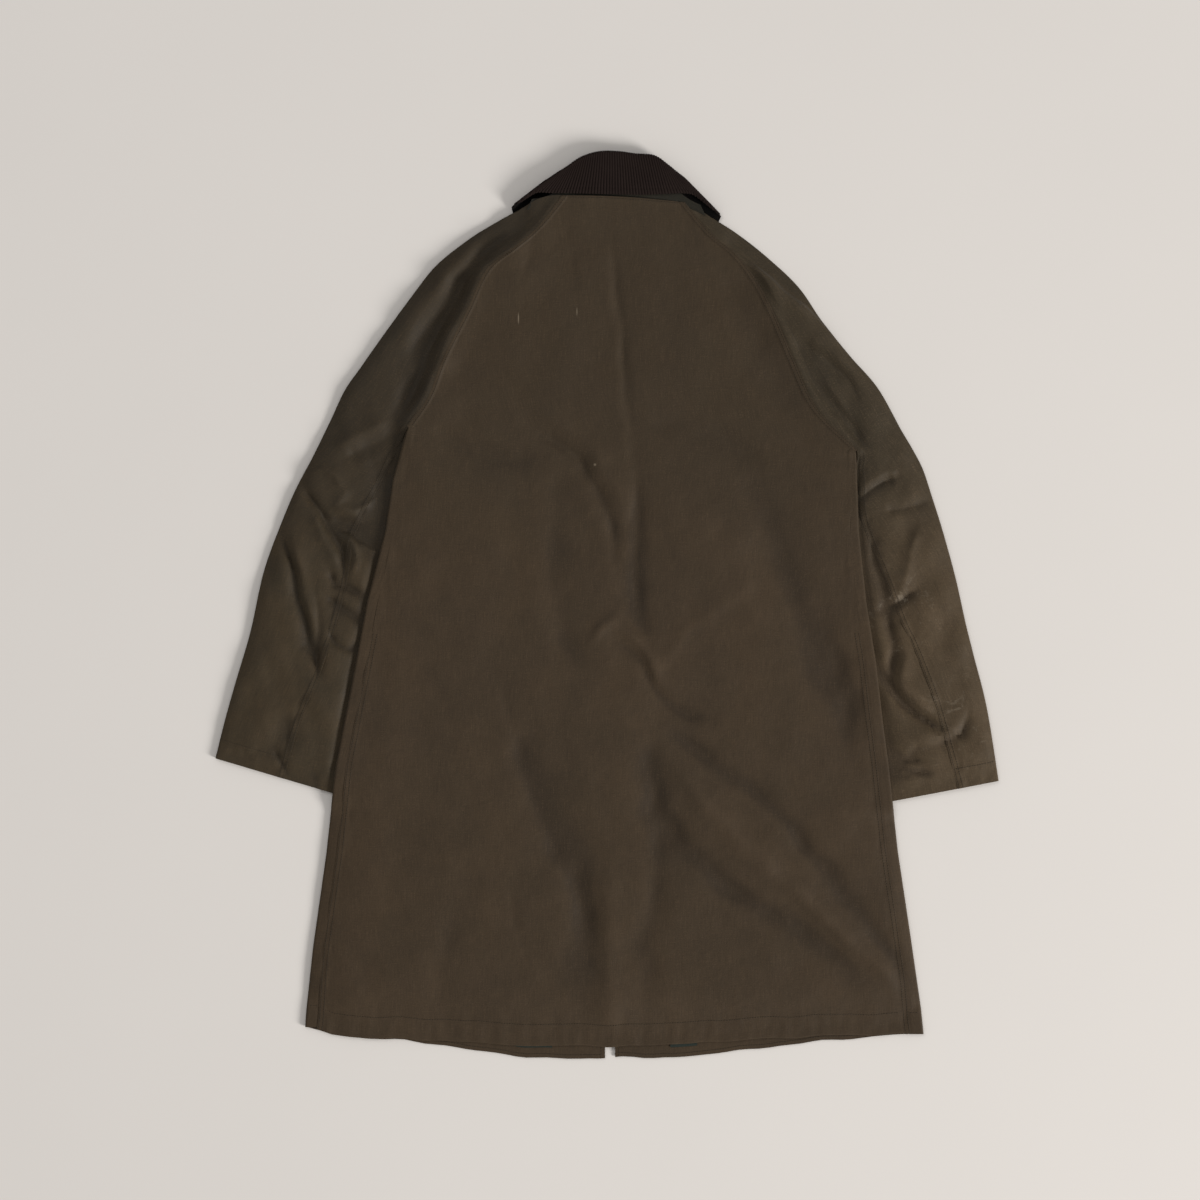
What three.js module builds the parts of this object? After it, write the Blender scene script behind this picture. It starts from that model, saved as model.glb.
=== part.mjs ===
// A long waxed cotton jacket with raglan sleeves and a corduroy collar, laid flat with its back up.
// Millimetres, +Z up. The collar points along +Y, the hem along -Y, and everything lies on z = 0.
// Left and right are as seen from above, so "left" is the side at -X.
import * as THREE from 'three';

// Driving dimensions
const cloth = 1.6; // waxed cotton, wall thickness
const corduroy = 2.2; // collar wall thickness
const liningWall = 1.0;
const seamGap = 0.4; // between two pieces at a seam
const layHeight = 6.4; // middle of the top layer over the body and the sleeves
const pressedHeight = 3.6; // middle of the top layer where it is pressed flat, at hems and folds
const layerStep = 2.8; // least distance between the middles of two layers
const foldReach = 1.7; // how far a side fold stands out past its last flat point
const centreFront = 3.6; // x of the gap between the two fronts
const frontGap = 12; // width of that gap
const seamReturn = 14; // from the side fold back to the side seam on top
const fellWidth = 9; // felled seam, from the seam to its second stitch line
const fellRise = 0.8; // extra thickness of a felled seam
const frontHemDepth = 15; // turned-up hem on the inside of the fronts
const frontHemRise = 0.9;
const walePitch = 3.2; // corduroy, one rib
const waleRise = 0.8;
const collarLift = 3.0; // how far the fronts are raised by the collar that lies under them
const sleeveLift = 5.1; // how far the body's side is raised by the sleeve that lies under it
const neckDrop = 400; // y of the centre front neck

const backClearance = 3.5; // how far the back's edge draws in towards each armpit
const sleeveClearance = 2.2; // the same for the sleeve's edge
const shoulderShare = 0.36; // of a front's free edge that lies above the armpit
const frontMargins = [44, 33, 24, 14]; // lines on a front, in from its side fold

const foldSteps = 3; // steps of the half turn at a fold
const tailSteps = 8; // points from a section's inner fold to its end
const foldRun = 6; // where a section is open, those points lie on the last stretch of it

const floorMid = cloth / 2;
const armpits = { left: 215, right: 186 }; // y of each armpit

// Body below the armpits: the side folds and the two hems, one row a section.
const bodySections = [
  { y: 215, left: -238, right: 297 },
  { y: 186, left: -246, right: 298 },
  { y: 150, left: -256, right: 299 },
  { y: 89, left: -265, right: 301 },
  { y: 4, left: -287, right: 310 },
  { y: -71, left: -301, right: 322 },
  { y: -132, left: -313, right: 329 },
  { y: -193, left: -325, right: 337 },
  { y: -294, left: -336, right: 348 },
  { y: -408, left: -352, right: 365 },
  { y: -484, left: -360, right: 376 },
  { y: -514, left: -362, right: 379 },
];
const hems = [
  { x: -362, back: -505, front: -505 },
  { x: -330, back: -516, front: -516 },
  { x: -241, back: -521, front: -522 },
  { x: -166, back: -524, front: -533 },
  { x: -102, back: -528, front: -542 },
  { x: -40, back: -529, front: -544 },
  { x: 4, back: -529, front: -543 },
  { x: 80, back: -527, front: -543 },
  { x: 168, back: -521, front: -533 },
  { x: 244, back: -517, front: -525 },
  { x: 316, back: -516, front: -517 },
  { x: 379, back: -513, front: -514 },
];

// Sleeves, one row a section from the neck to the cuff. seam: the back raglan seam, then the
// underarm seam. outer: the fold along the arm. front: the front raglan seam, down to the armpit.
// tuck: how far the inner fold lies under the body's side.
const sleeveSections = {
  left: [
    { seam: [-53, 486], outer: [-107, 472], front: [-75, 430] },
    { seam: [-84, 452], outer: [-140, 454], front: [-95, 410] },
    { seam: [-114, 426], outer: [-168, 436], front: [-118, 385] },
    { seam: [-146, 400], outer: [-205, 406], front: [-142, 358] },
    { seam: [-169, 352], outer: [-235, 368], front: [-165, 325] },
    { seam: [-198, 294], outer: [-270, 320], front: [-190, 285] },
    { seam: [-215, 250], outer: [-296, 283], front: [-214, 250] },
    { seam: [-238, 215], outer: [-314, 257], tuck: -2.6 },
    { seam: [-251, 190], outer: [-331, 221], tuck: -2.6 },
    { seam: [-270, 150], outer: [-353, 176], tuck: 10 },
    { seam: [-288, 115], outer: [-372, 140], tuck: 18 },
    { seam: [-304, 79], outer: [-390, 98], tuck: 22 },
    { seam: [-312, 28], outer: [-411, 40], tuck: 22 },
    { seam: [-329, -36], outer: [-427, -32], tuck: 20 },
    { seam: [-347, -88], outer: [-444, -90], tuck: 17 },
    { seam: [-368, -139], outer: [-457, -136], tuck: 14 },
    { seam: [-388, -208], outer: [-469, -184], tuck: 12 },
  ],
  right: [
    { seam: [92, 476], outer: [131, 460], front: [105, 425] },
    { seam: [124, 444], outer: [158, 443], front: [125, 402] },
    { seam: [154, 419], outer: [191, 417], front: [148, 378] },
    { seam: [179, 387], outer: [229, 381], front: [172, 350] },
    { seam: [200, 347], outer: [258, 339], front: [196, 318] },
    { seam: [222, 295], outer: [291, 298], front: [224, 275] },
    { seam: [251, 234], outer: [324, 260], front: [258, 228] },
    { seam: [299, 186], outer: [352, 210], tuck: -2.6 },
    { seam: [303, 160], outer: [365, 188], tuck: -2.6 },
    { seam: [304, 135], outer: [378, 163], tuck: 8 },
    { seam: [305, 110], outer: [389, 130], tuck: 18 },
    { seam: [314, 80], outer: [401, 92], tuck: 22 },
    { seam: [334, 32], outer: [417, 34], tuck: 22 },
    { seam: [353, -19], outer: [430, -24], tuck: 20 },
    { seam: [368, -50], outer: [439, -60], tuck: 17 },
    { seam: [395, -122], outer: [455, -124], tuck: 14 },
    { seam: [422, -220], outer: [469, -211], tuck: 12 },
  ],
};

// Largest folds of the top layer. on: B back, L left sleeve, R right sleeve. rise is up, in mm,
// and negative in a trough. width is from the crest to where the fold has faded by two thirds.
const folds = [
  { on: 'B', rise: -2.4, width: 14, path: [[18, 300], [30, 222], [38, 120], [42, 20], [56, -60]] },
  { on: 'B', rise: 2.6, width: 16, path: [[2, 320], [10, 222], [14, 130], [22, 30], [34, -50]] },
  { on: 'B', rise: -2.8, width: 11, path: [[-100, 218], [-68, 186], [-34, 158], [-4, 128], [12, 112]] },
  { on: 'B', rise: 2.4, width: 13, path: [[-84, 232], [-50, 200], [-18, 174], [10, 150]] },
  { on: 'BR', rise: -2.4, width: 20, path: [[112, 468], [136, 438], [208, 318], [268, 210]] },
  { on: 'B', rise: -2.6, width: 30, path: [[100, 198], [160, 126], [220, 42], [268, -54], [290, -150]] },
  { on: 'B', rise: 2.2, width: 26, path: [[200, 230], [236, 130], [262, 20]] },
  { on: 'B', rise: -2.0, width: 10, path: [[-20, 198], [-32, 102], [-50, 6], [-42, -114]] },
  { on: 'B', rise: -2.6, width: 20, path: [[-128, -102], [-92, -138], [-80, -200], [-92, -260], [-40, -350]] },
  { on: 'B', rise: 2.4, width: 22, path: [[-30, -140], [-22, -220], [-8, -300], [-4, -400], [-2, -490]] },
  { on: 'B', rise: -2.2, width: 9, path: [[-116, -330], [-108, -372], [-98, -408]] },
  { on: 'B', rise: -2.8, width: 15, path: [[64, -210], [100, -258], [154, -318], [208, -366], [292, -462]] },
  { on: 'B', rise: -2.8, width: 13, path: [[58, -138], [112, -162], [184, -246], [232, -318], [350, -462]] },
  { on: 'B', rise: 2.6, width: 14, path: [[70, -176], [120, -216], [180, -282], [250, -350], [320, -430]] },
  { on: 'B', rise: 2.6, width: 10, path: [[40, -30], [50, -52], [60, -96], [76, -104], [112, -114]] },
  { on: 'B', rise: -1.8, width: 18, path: [[-47, 452], [-68, 430], [-100, 404]] },
  { on: 'L', rise: -2.6, width: 16, path: [[-146, 404], [-188, 362], [-212, 330], [-246, 240], [-272, 150]] },
  { on: 'L', rise: 2.4, width: 18, path: [[-136, 448], [-188, 402], [-222, 354], [-246, 310], [-290, 230]] },
  { on: 'L', rise: -2.6, width: 12, path: [[-365, 140], [-338, 108], [-326, 82], [-320, 36]] },
  { on: 'L', rise: 2.6, width: 13, path: [[-392, 88], [-372, 41], [-364, -22], [-350, -82]] },
  { on: 'L', rise: -2.4, width: 11, path: [[-362, 150], [-330, 166], [-284, 196]] },
  { on: 'L', rise: -2.0, width: 8, path: [[-334, 34], [-312, 19], [-296, 12]] },
  { on: 'R', rise: 2.6, width: 11, path: [[97, 466], [124, 444], [175, 408], [235, 360], [276, 318]] },
  { on: 'R', rise: -2.6, width: 12, path: [[221, 300], [252, 297], [270, 286], [294, 264]] },
  { on: 'R', rise: 2.4, width: 12, path: [[230, 318], [268, 312], [306, 280], [330, 240]] },
  { on: 'R', rise: -2.6, width: 10, path: [[322, 139], [340, 146], [366, 160]] },
  { on: 'R', rise: 2.6, width: 10, path: [[336, 32], [350, 52], [362, 80]] },
  { on: 'R', rise: -2.4, width: 10, path: [[343, -16], [344, -58], [340, -107]] },
  { on: 'R', rise: 2.4, width: 9, path: [[325, -86], [341, -107], [360, -125], [385, -150]] },
  { on: 'R', rise: -2.0, width: 8, path: [[367, -181], [378, -163], [409, -163], [431, -136]] },
];

// Corduroy collar leaf, one row a section from the left front point round the back of the neck to
// the right front point. fold: the roll line. edge: the free edge. The first and last rows lie
// under the fronts, and ribs is 0 there, where the leaf is pressed against the surface.
const collarSections = [
  { fold: [-4, 432], edge: [-50, 366], height: 1.1, roll: 1.2, ribs: 0 },
  { fold: [-30, 458], edge: [-82, 405], height: 1.1, roll: 1.2, ribs: 0 },
  { fold: [-56, 486], edge: [-106, 448], height: 1.1, roll: 1.2, ribs: 0 },
  { fold: [-70, 504], edge: [-115, 471], height: 1.6, roll: 1.3, ribs: 0 },
  { fold: [-73, 508], edge: [-117, 476], height: 5.4, roll: 1.6, ribs: 0.5 },
  { fold: [-68, 510], edge: [-107, 482], height: 9.6, roll: 2.2, ribs: 1 },
  { fold: [-58, 517], edge: [-86, 493.5], height: 10.2, roll: 2.3, ribs: 1 },
  { fold: [-47, 524], edge: [-68, 493.5], height: 10.4, roll: 2.4, ribs: 1 },
  { fold: [-31, 535], edge: [-44, 493], height: 10.6, roll: 2.4, ribs: 1 },
  { fold: [-10, 541.5], edge: [-14, 492], height: 10.8, roll: 2.4, ribs: 1 },
  { fold: [12, 541.8], edge: [14, 491.5], height: 10.8, roll: 2.4, ribs: 1 },
  { fold: [34, 539], edge: [42, 491], height: 10.6, roll: 2.4, ribs: 1 },
  { fold: [56, 537], edge: [68, 492], height: 10.4, roll: 2.4, ribs: 1 },
  { fold: [71, 527], edge: [90, 493], height: 10.2, roll: 2.3, ribs: 1 },
  { fold: [82, 518], edge: [106, 490], height: 9.8, roll: 2.3, ribs: 1 },
  { fold: [92, 510], edge: [128, 473], height: 9.2, roll: 2.2, ribs: 1 },
  { fold: [96, 506], edge: [138, 465], height: 5.4, roll: 1.6, ribs: 0.5 },
  { fold: [92, 501], edge: [136, 459], height: 1.6, roll: 1.3, ribs: 0 },
  { fold: [74, 482], edge: [126, 436], height: 1.1, roll: 1.2, ribs: 0 },
  { fold: [44, 455], edge: [100, 398], height: 1.1, roll: 1.2, ribs: 0 },
  { fold: [12, 432], edge: [62, 366], height: 1.1, roll: 1.2, ribs: 0 },
];

// Under collar, one row a section along the back neck. neck: its sewn edge. top: under the roll.
const standSections = [
  { neck: [-96, 480], top: [-90, 486], dip: 1 },
  { neck: [-74, 486.5], top: [-71, 490], dip: 0.4 },
  { neck: [-52, 490], top: [-51, 502], dip: 0 },
  { neck: [-20, 491], top: [-22, 526], dip: 0 },
  { neck: [20, 490], top: [20, 529], dip: 0 },
  { neck: [60, 489], top: [56, 523], dip: 0 },
  { neck: [92, 483], top: [80, 500], dip: 0 },
  { neck: [106, 479], top: [98, 486], dip: 0.4 },
  { neck: [118, 473], top: [112, 479], dip: 1 },
];

const mix = (a, b, t) => a + (b - a) * t;
const clamp = (x, low, high) => Math.min(Math.max(x, low), high);
const rampUp = (from, to, x) => {
  const t = clamp((x - from) / (to - from), 0, 1);
  return t * t * (3 - 2 * t);
};
const mixPoint = (a, b, t) => a.map((value, i) => mix(value, b[i], t));
const distance = (a, b) => Math.hypot(a[0] - b[0], a[1] - b[1]);

// A value read off a table between its rows, on a curve with no overshoot worth speaking of.
function between(values, place) {
  const last = values.length - 1;
  const i = clamp(Math.floor(place), 0, last - 1);
  const t = place - i;
  const [a, b, c, d] = [values[Math.max(i - 1, 0)], values[i], values[i + 1], values[Math.min(i + 2, last)]];
  const curve = (p, q, r, s) => 0.5 * (2 * q + (r - p) * t + (2 * p - 5 * q + 4 * r - s) * t * t
    + (3 * q - p - 3 * r + s) * t * t * t);
  return Array.isArray(b) ? b.map((_, k) => curve(a[k], b[k], c[k], d[k])) : curve(a, b, c, d);
}

function lookUp(table, key, column, at) {
  const rising = table[1][key] > table[0][key] ? 1 : -1;
  let i = 0;
  while (i < table.length - 2 && (at - table[i + 1][key]) * rising > 0) i += 1;
  const t = clamp((at - table[i][key]) / (table[i + 1][key] - table[i][key]), 0, 1);
  return mix(table[i][column], table[i + 1][column], t);
}

const sideFold = (side, y) => lookUp(bodySections, 'y', side, y);
const hem = (layer, x) => lookUp(hems, 'x', layer, x);

// Distance to a path, and how far along it the nearest point is, from 0 to 1.
function nearest(path, x, y) {
  let best = { away: Infinity, along: 0 };
  path.slice(1).forEach((b, i) => {
    const a = path[i];
    const [dx, dy] = [b[0] - a[0], b[1] - a[1]];
    const t = clamp(((x - a[0]) * dx + (y - a[1]) * dy) / (dx * dx + dy * dy), 0, 1);
    const away = Math.hypot(x - a[0] - t * dx, y - a[1] - t * dy);
    if (away < best.away) best = { away, along: (i + t) / (path.length - 1) };
  });
  return best;
}

function foldRelief(piece, x, y) {
  let height = 0;
  for (const fold of folds) {
    if (!fold.on.includes(piece)) continue;
    const { away, along } = nearest(fold.path, x, y);
    const fade = rampUp(0, 0.2, along) * rampUp(1, 0.8, along);
    height += fold.rise * (0.35 + 0.65 * fade) * Math.exp(-((away / fold.width) ** 2));
  }
  return height;
}

const sign = { left: -1, right: 1 };
const sideEnd = { left: -505, right: -514 }; // y of the hem at each side fold
const armpitRow = 7; // the row of the sleeve tables that is at the armpit

// The inner fold of a sleeve: where the section's line passes under the body's side.
function innerFold(side, row) {
  const [outer, seam] = [row.outer, row.seam];
  let place = [...seam];
  for (let pass = 0; pass < 12; pass += 1) {
    const x = sideFold(side, place[1]) - sign[side] * row.tuck;
    const t = (x - outer[0]) / (seam[0] - outer[0]);
    place = mixPoint(outer, seam, t);
  }
  return place;
}
const innerFolds = {};
for (const side of ['left', 'right']) {
  innerFolds[side] = sleeveSections[side].slice(armpitRow).map((row) => innerFold(side, row));
}

// How far the body's side is raised over the sleeve at a point.
function liftOverSleeve(x, y) {
  const side = x < centreFront ? 'left' : 'right';
  const line = innerFolds[side];
  const table = line.map(([fx, fy]) => ({ x: fx, y: fy }));
  const inside = (lookUp(table, 'y', 'x', y) - x) * sign[side];
  const cuff = line[line.length - 1][1];
  return sleeveLift * rampUp(22, 3, inside) * rampUp(armpits[side] - 3, armpits[side] - 23, y)
    * rampUp(cuff - 22, cuff - 5, y);
}

const leafOutlines = {
  left: collarSections.slice(0, 4),
  right: collarSections.slice(-4),
};
// How far the layers at the neck are raised by the collar leaf that lies under them.
function liftOverCollar(x, y) {
  const rows = leafOutlines[x < centreFront ? 'left' : 'right'];
  const outline = [...rows.map((row) => row.fold), ...rows.map((row) => row.edge).reverse()];
  let inside = false;
  outline.forEach((a, i) => {
    const b = outline[(i + 1) % outline.length];
    if ((a[1] > y) !== (b[1] > y) && x < a[0] + (b[0] - a[0]) * (y - a[1]) / (b[1] - a[1])) inside = !inside;
  });
  const away = inside ? 0 : nearest([...outline, outline[0]], x, y).away;
  return collarLift * rampUp(30, 6, away);
}

const underHeight = (x, y) => floorMid + Math.max(liftOverSleeve(x, y), liftOverCollar(x, y));

function backHeight(x, y) {
  let height = layHeight + foldRelief('B', x, y);
  for (const side of ['left', 'right']) {
    const below = rampUp(armpits[side], armpits[side] - 35, y);
    const away = Math.max((sideFold(side, y) - x) * sign[side], 0);
    const edge = pressedHeight + liftOverSleeve(sideFold(side, y), y);
    height += (edge - layHeight) * Math.exp(-away / 26) * below;
  }
  const pressed = rampUp(60, 8, y - hem('back', x));
  height = mix(height, pressedHeight + 0.6 + 0.35 * (height - layHeight), pressed);
  return Math.max(height, underHeight(x, y) + layerStep + 0.9 * pressed);
}

function sleeveHeight(side, x, y, outerLine, cuffAway) {
  const piece = side === 'left' ? 'L' : 'R';
  const below = rampUp(armpits[side] + 2, armpits[side] - 30, y);
  const away = (x - sideFold(side, y)) * sign[side];
  const under = Math.exp(-Math.max(away - 5, 0) / 18) * below;
  const atFold = Math.exp(-nearest(outerLine, x, y).away / 10);
  const atRaglan = rampUp(26, 4, nearest(sleeveSections[side].slice(0, armpitRow + 1).map((r) => r.seam), x, y).away);
  const own = foldRelief(piece, x, y) * (1 - atRaglan) + foldRelief('B', x, y) * atRaglan;
  let height = layHeight + own * (1 - under) * (1 - atFold);
  height = mix(height, pressedHeight, Math.max(under, atFold));
  height = mix(height, pressedHeight, rampUp(40, 4, cuffAway) * 0.8);
  return Math.max(height, floorMid + liftOverCollar(x, y) + layerStep);
}

// A wall of cloth about a grid of middle points. outside and inside give how far each face is
// from the middle at a grid place.
function wall(grid, outside, inside) {
  const rows = grid.length;
  const columns = grid[0].length;
  const at = (i, j) => new THREE.Vector3(...grid[clamp(i, 0, rows - 1)][clamp(j, 0, columns - 1)]);
  const points = [[], []];
  for (let i = 0; i < rows; i += 1) {
    for (let j = 0; j < columns; j += 1) {
      const across = at(i, j + 1).sub(at(i, j - 1));
      const along = at(i + 1, j).sub(at(i - 1, j));
      const normal = across.cross(along).normalize();
      points[0].push(at(i, j).addScaledVector(normal, outside(i, j)));
      points[1].push(at(i, j).addScaledVector(normal, -inside(i, j)));
    }
  }
  const half = rows * columns;
  const faces = [];
  const quad = (a, b, c, d) => faces.push([a, b, c], [a, c, d]);
  for (let i = 0; i < rows - 1; i += 1) {
    for (let j = 0; j < columns - 1; j += 1) {
      const a = i * columns + j;
      const [b, c, d] = [a + 1, a + columns + 1, a + columns];
      quad(a, b, c, d);
      quad(half + a, half + d, half + c, half + b);
    }
  }
  const edge = [];
  for (let j = 0; j < columns - 1; j += 1) edge.push(j);
  for (let i = 0; i < rows - 1; i += 1) edge.push(i * columns + columns - 1);
  for (let j = columns - 1; j > 0; j -= 1) edge.push((rows - 1) * columns + j);
  for (let i = rows - 1; i > 0; i -= 1) edge.push(i * columns);
  edge.forEach((a, k) => {
    const b = edge[(k + 1) % edge.length];
    quad(b, a, half + a, half + b);
  });
  return solid([...points[0], ...points[1]], faces);
}

// A geometry from points and triangles, turned so that its faces point out.
function solid(points, faces) {
  let volume = 0;
  for (const [a, b, c] of faces) {
    volume += points[a].dot(points[b].clone().cross(points[c]));
  }
  const turned = volume < 0 ? faces.map(([a, b, c]) => [a, c, b]) : faces;
  const geometry = new THREE.BufferGeometry();
  geometry.setAttribute('position', new THREE.Float32BufferAttribute(points.flatMap((p) => p.toArray()), 3));
  geometry.setIndex(turned.flat());
  geometry.computeVertexNormals();
  return geometry;
}

// Steps of a half turn from a low layer to a high one, bulging out along a direction.
function foldPoints(foot, direction, low, high, steps, reach = foldReach) {
  const points = [];
  for (let k = 0; k <= steps; k += 1) {
    const angle = Math.PI * k / steps;
    const out = reach * Math.sin(angle);
    points.push([foot[0] + direction[0] * out, foot[1] + direction[1] * out,
      mix(low, high, (1 - Math.cos(angle)) / 2)]);
  }
  return points;
}

// Places along a run: the felled seam's edge first, then even steps.
function runPlaces(total, count) {
  const places = [0, fellWidth, fellWidth + 1.2];
  const start = places[places.length - 1];
  const rest = count - places.length;
  for (let k = 1; k <= rest; k += 1) places.push(mix(start, total, k / rest));
  return places;
}

function unit(from, to) {
  const length = distance(from, to);
  return [(to[0] - from[0]) / length, (to[1] - from[1]) / length];
}

// Sections that the back, the fronts and the sleeves share: down the raglan seams to the armpit,
// then down the sides, as a share of the way to the hem.
const raglanStations = [0, 0.7, 1.4, 2.2, 3, 3.8, 4.6, 5.4, 6.1, 6.6, 7];
const sideShares = [0.014, 0.03, 0.05, 0.08, 0.12, 0.18, 0.25, 0.33, 0.42, 0.5, 0.545, 0.572, 0.59, 0.61, 0.65,
  0.72, 0.79, 0.86, 0.92, 0.9785, 0.9805, 1];
const bodyStations = [...raglanStations, ...sideShares.map((share) => armpitRow + share)];

function backPanel() {
  const columns = 26;
  const seams = {
    left: sleeveSections.left.map((row) => row.seam),
    right: sleeveSections.right.map((row) => row.seam),
  };
  const edge = (side, station) => {
    const inward = -sign[side];
    if (station <= armpitRow) {
      const [x, y] = between(seams[side].slice(0, armpitRow + 1), station);
      const closing = rampUp(armpitRow - 1, armpitRow, station) * backClearance;
      return [x + inward * (seamGap / 2 + closing), y];
    }
    const down = station - armpitRow;
    const top = armpits[side];
    const y = mix(top, sideEnd[side], down);
    const back = mix(3.7, seamReturn, rampUp(0, 0.09, down));
    return [sideFold(side, y) + inward * (back + seamGap / 2), y];
  };
  const grid = bodyStations.map((station) => {
    const [left, right] = [edge('left', station), edge('right', station)];
    const down = clamp((station - armpitRow), 0, 1);
    const up = clamp(1 - station / armpitRow, 0, 1);
    const width = right[0] - left[0];
    const shrink = Math.min(1, width / 160);
    const margin = [0, fellWidth, fellWidth + 1.2, 18, 27].map((place) => place * shrink);
    const inner = columns - 2 * margin.length;
    const across = [...margin];
    for (let k = 1; k <= inner; k += 1) {
      across.push(mix(margin[4], width - margin[4], k / (inner + 1)));
    }
    across.push(...margin.map((place) => width - place).reverse());
    return across.map((place) => {
      const u = place / width;
      const x = left[0] + place;
      let y = mix(left[1], right[1], u) + 5 * Math.sin(Math.PI * u) * up * up;
      const [hemLeft, hemRight] = [hem('back', left[0]), hem('back', right[0])];
      y += (hem('back', x) - mix(hemLeft, hemRight, u)) * down * down;
      y += mix(hemLeft - left[1], hemRight - right[1], u) * rampUp(0.9, 1, down);
      return [x, y, backHeight(x, y)];
    });
  });
  const last = bodyStations.length - 1;
  const outside = (i, j) => cloth / 2 + (j < 2 || j > columns - 3 ? fellRise : 0)
    + (i >= last - 1 ? fellRise * 0.7 : 0);
  return wall(grid, () => cloth / 2, outside);
}

const lookUpTuck = (table, station) => between(table.map((row) => row.tuck ?? 0), station);

// The path round a section: over the top, round the outer fold and back along the surface. A
// closed section then turns up the inner fold and returns to the seam on top.
function sleeve(side) {
  const table = sleeveSections[side];
  const outerLine = table.map((row) => row.outer);
  const last = table.length - 1;
  const inner = table.map((row, k) => (k < armpitRow ? row.front : innerFold(side, row)));
  const cuffLine = [table[last].outer, table[last].seam, inner[last]];
  const stations = [...raglanStations, 7.5, 8, 8.6, 9.2, 10, 10.8, 11.6, 12.4, 13.2, 14, 14.8, 15.5, 15.8, last];
  const height = (x, y) => sleeveHeight(side, x, y, outerLine, nearest(cuffLine, x, y).away);
  const grid = stations.map((station) => {
    const seam = between(table.map((row) => row.seam), station);
    const outer = between(outerLine, station);
    const out = unit(seam, outer);
    const closing = station <= armpitRow
      ? rampUp(armpitRow - 1, armpitRow, station) * sleeveClearance : 0;
    const start = [0, 1].map((k) => seam[k] + out[k] * (seamGap / 2 + closing));
    const width = distance(start, outer) - foldReach;
    const top = runPlaces(width, 8).map((place) => {
      const [x, y] = [start[0] + out[0] * place, start[1] + out[1] * place];
      return [x, y, height(x, y)];
    });
    const foot = top[top.length - 1];
    const low = floorMid + liftOverCollar(foot[0], foot[1]);
    const round = foldPoints(foot, out, foot[2], low, foldSteps).slice(1);
    const end = between(inner, station);
    const inward = unit(foot, end);
    const open = station < armpitRow;
    const run = distance(foot, end) - (open ? seamGap / 2 : foldReach);
    const places = [1, 2, 3, 4].map((k) => (run - foldRun) * k / 4);
    if (open) for (let k = 1; k <= tailSteps; k += 1) places.push(run - foldRun + foldRun * k / tailSteps);
    else places.push(run);
    const bottom = places.map((place) => {
      const [x, y] = [foot[0] + inward[0] * place, foot[1] + inward[1] * place];
      return [x, y, floorMid + liftOverCollar(x, y)];
    });
    if (open) return [...top, ...round, ...bottom];
    const turn = bottom[bottom.length - 1];
    const atArmpit = station === armpitRow;
    const high = atArmpit ? layHeight - 0.6 : height(turn[0], turn[1]);
    const bend = atArmpit ? 0.2 : foldReach;
    const rise = foldPoints(turn, inward, turn[2], high, foldSteps, bend).slice(1);
    const seamEnd = [0, 1].map((k) => seam[k] - out[k] * seamGap / 2);
    const back = [];
    const backSteps = tailSteps - foldSteps - 1;
    const clear = clamp((lookUpTuck(table, station) + 5) / distance(turn, seamEnd), 0.1, 0.6);
    for (let k = 1; k <= backSteps; k += 1) {
      const share = mix(clear, 1, (k - 1) / (backSteps - 1));
      const [x, y] = atArmpit ? turn : mixPoint(turn.slice(0, 2), seamEnd, share);
      back.push([x, y, atArmpit ? high + 0.3 * k : height(x, y)]);
    }
    return [...top, ...round, ...bottom, ...rise, ...back];
  });
  return wall(grid, () => cloth / 2, () => cloth / 2);
}

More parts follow.
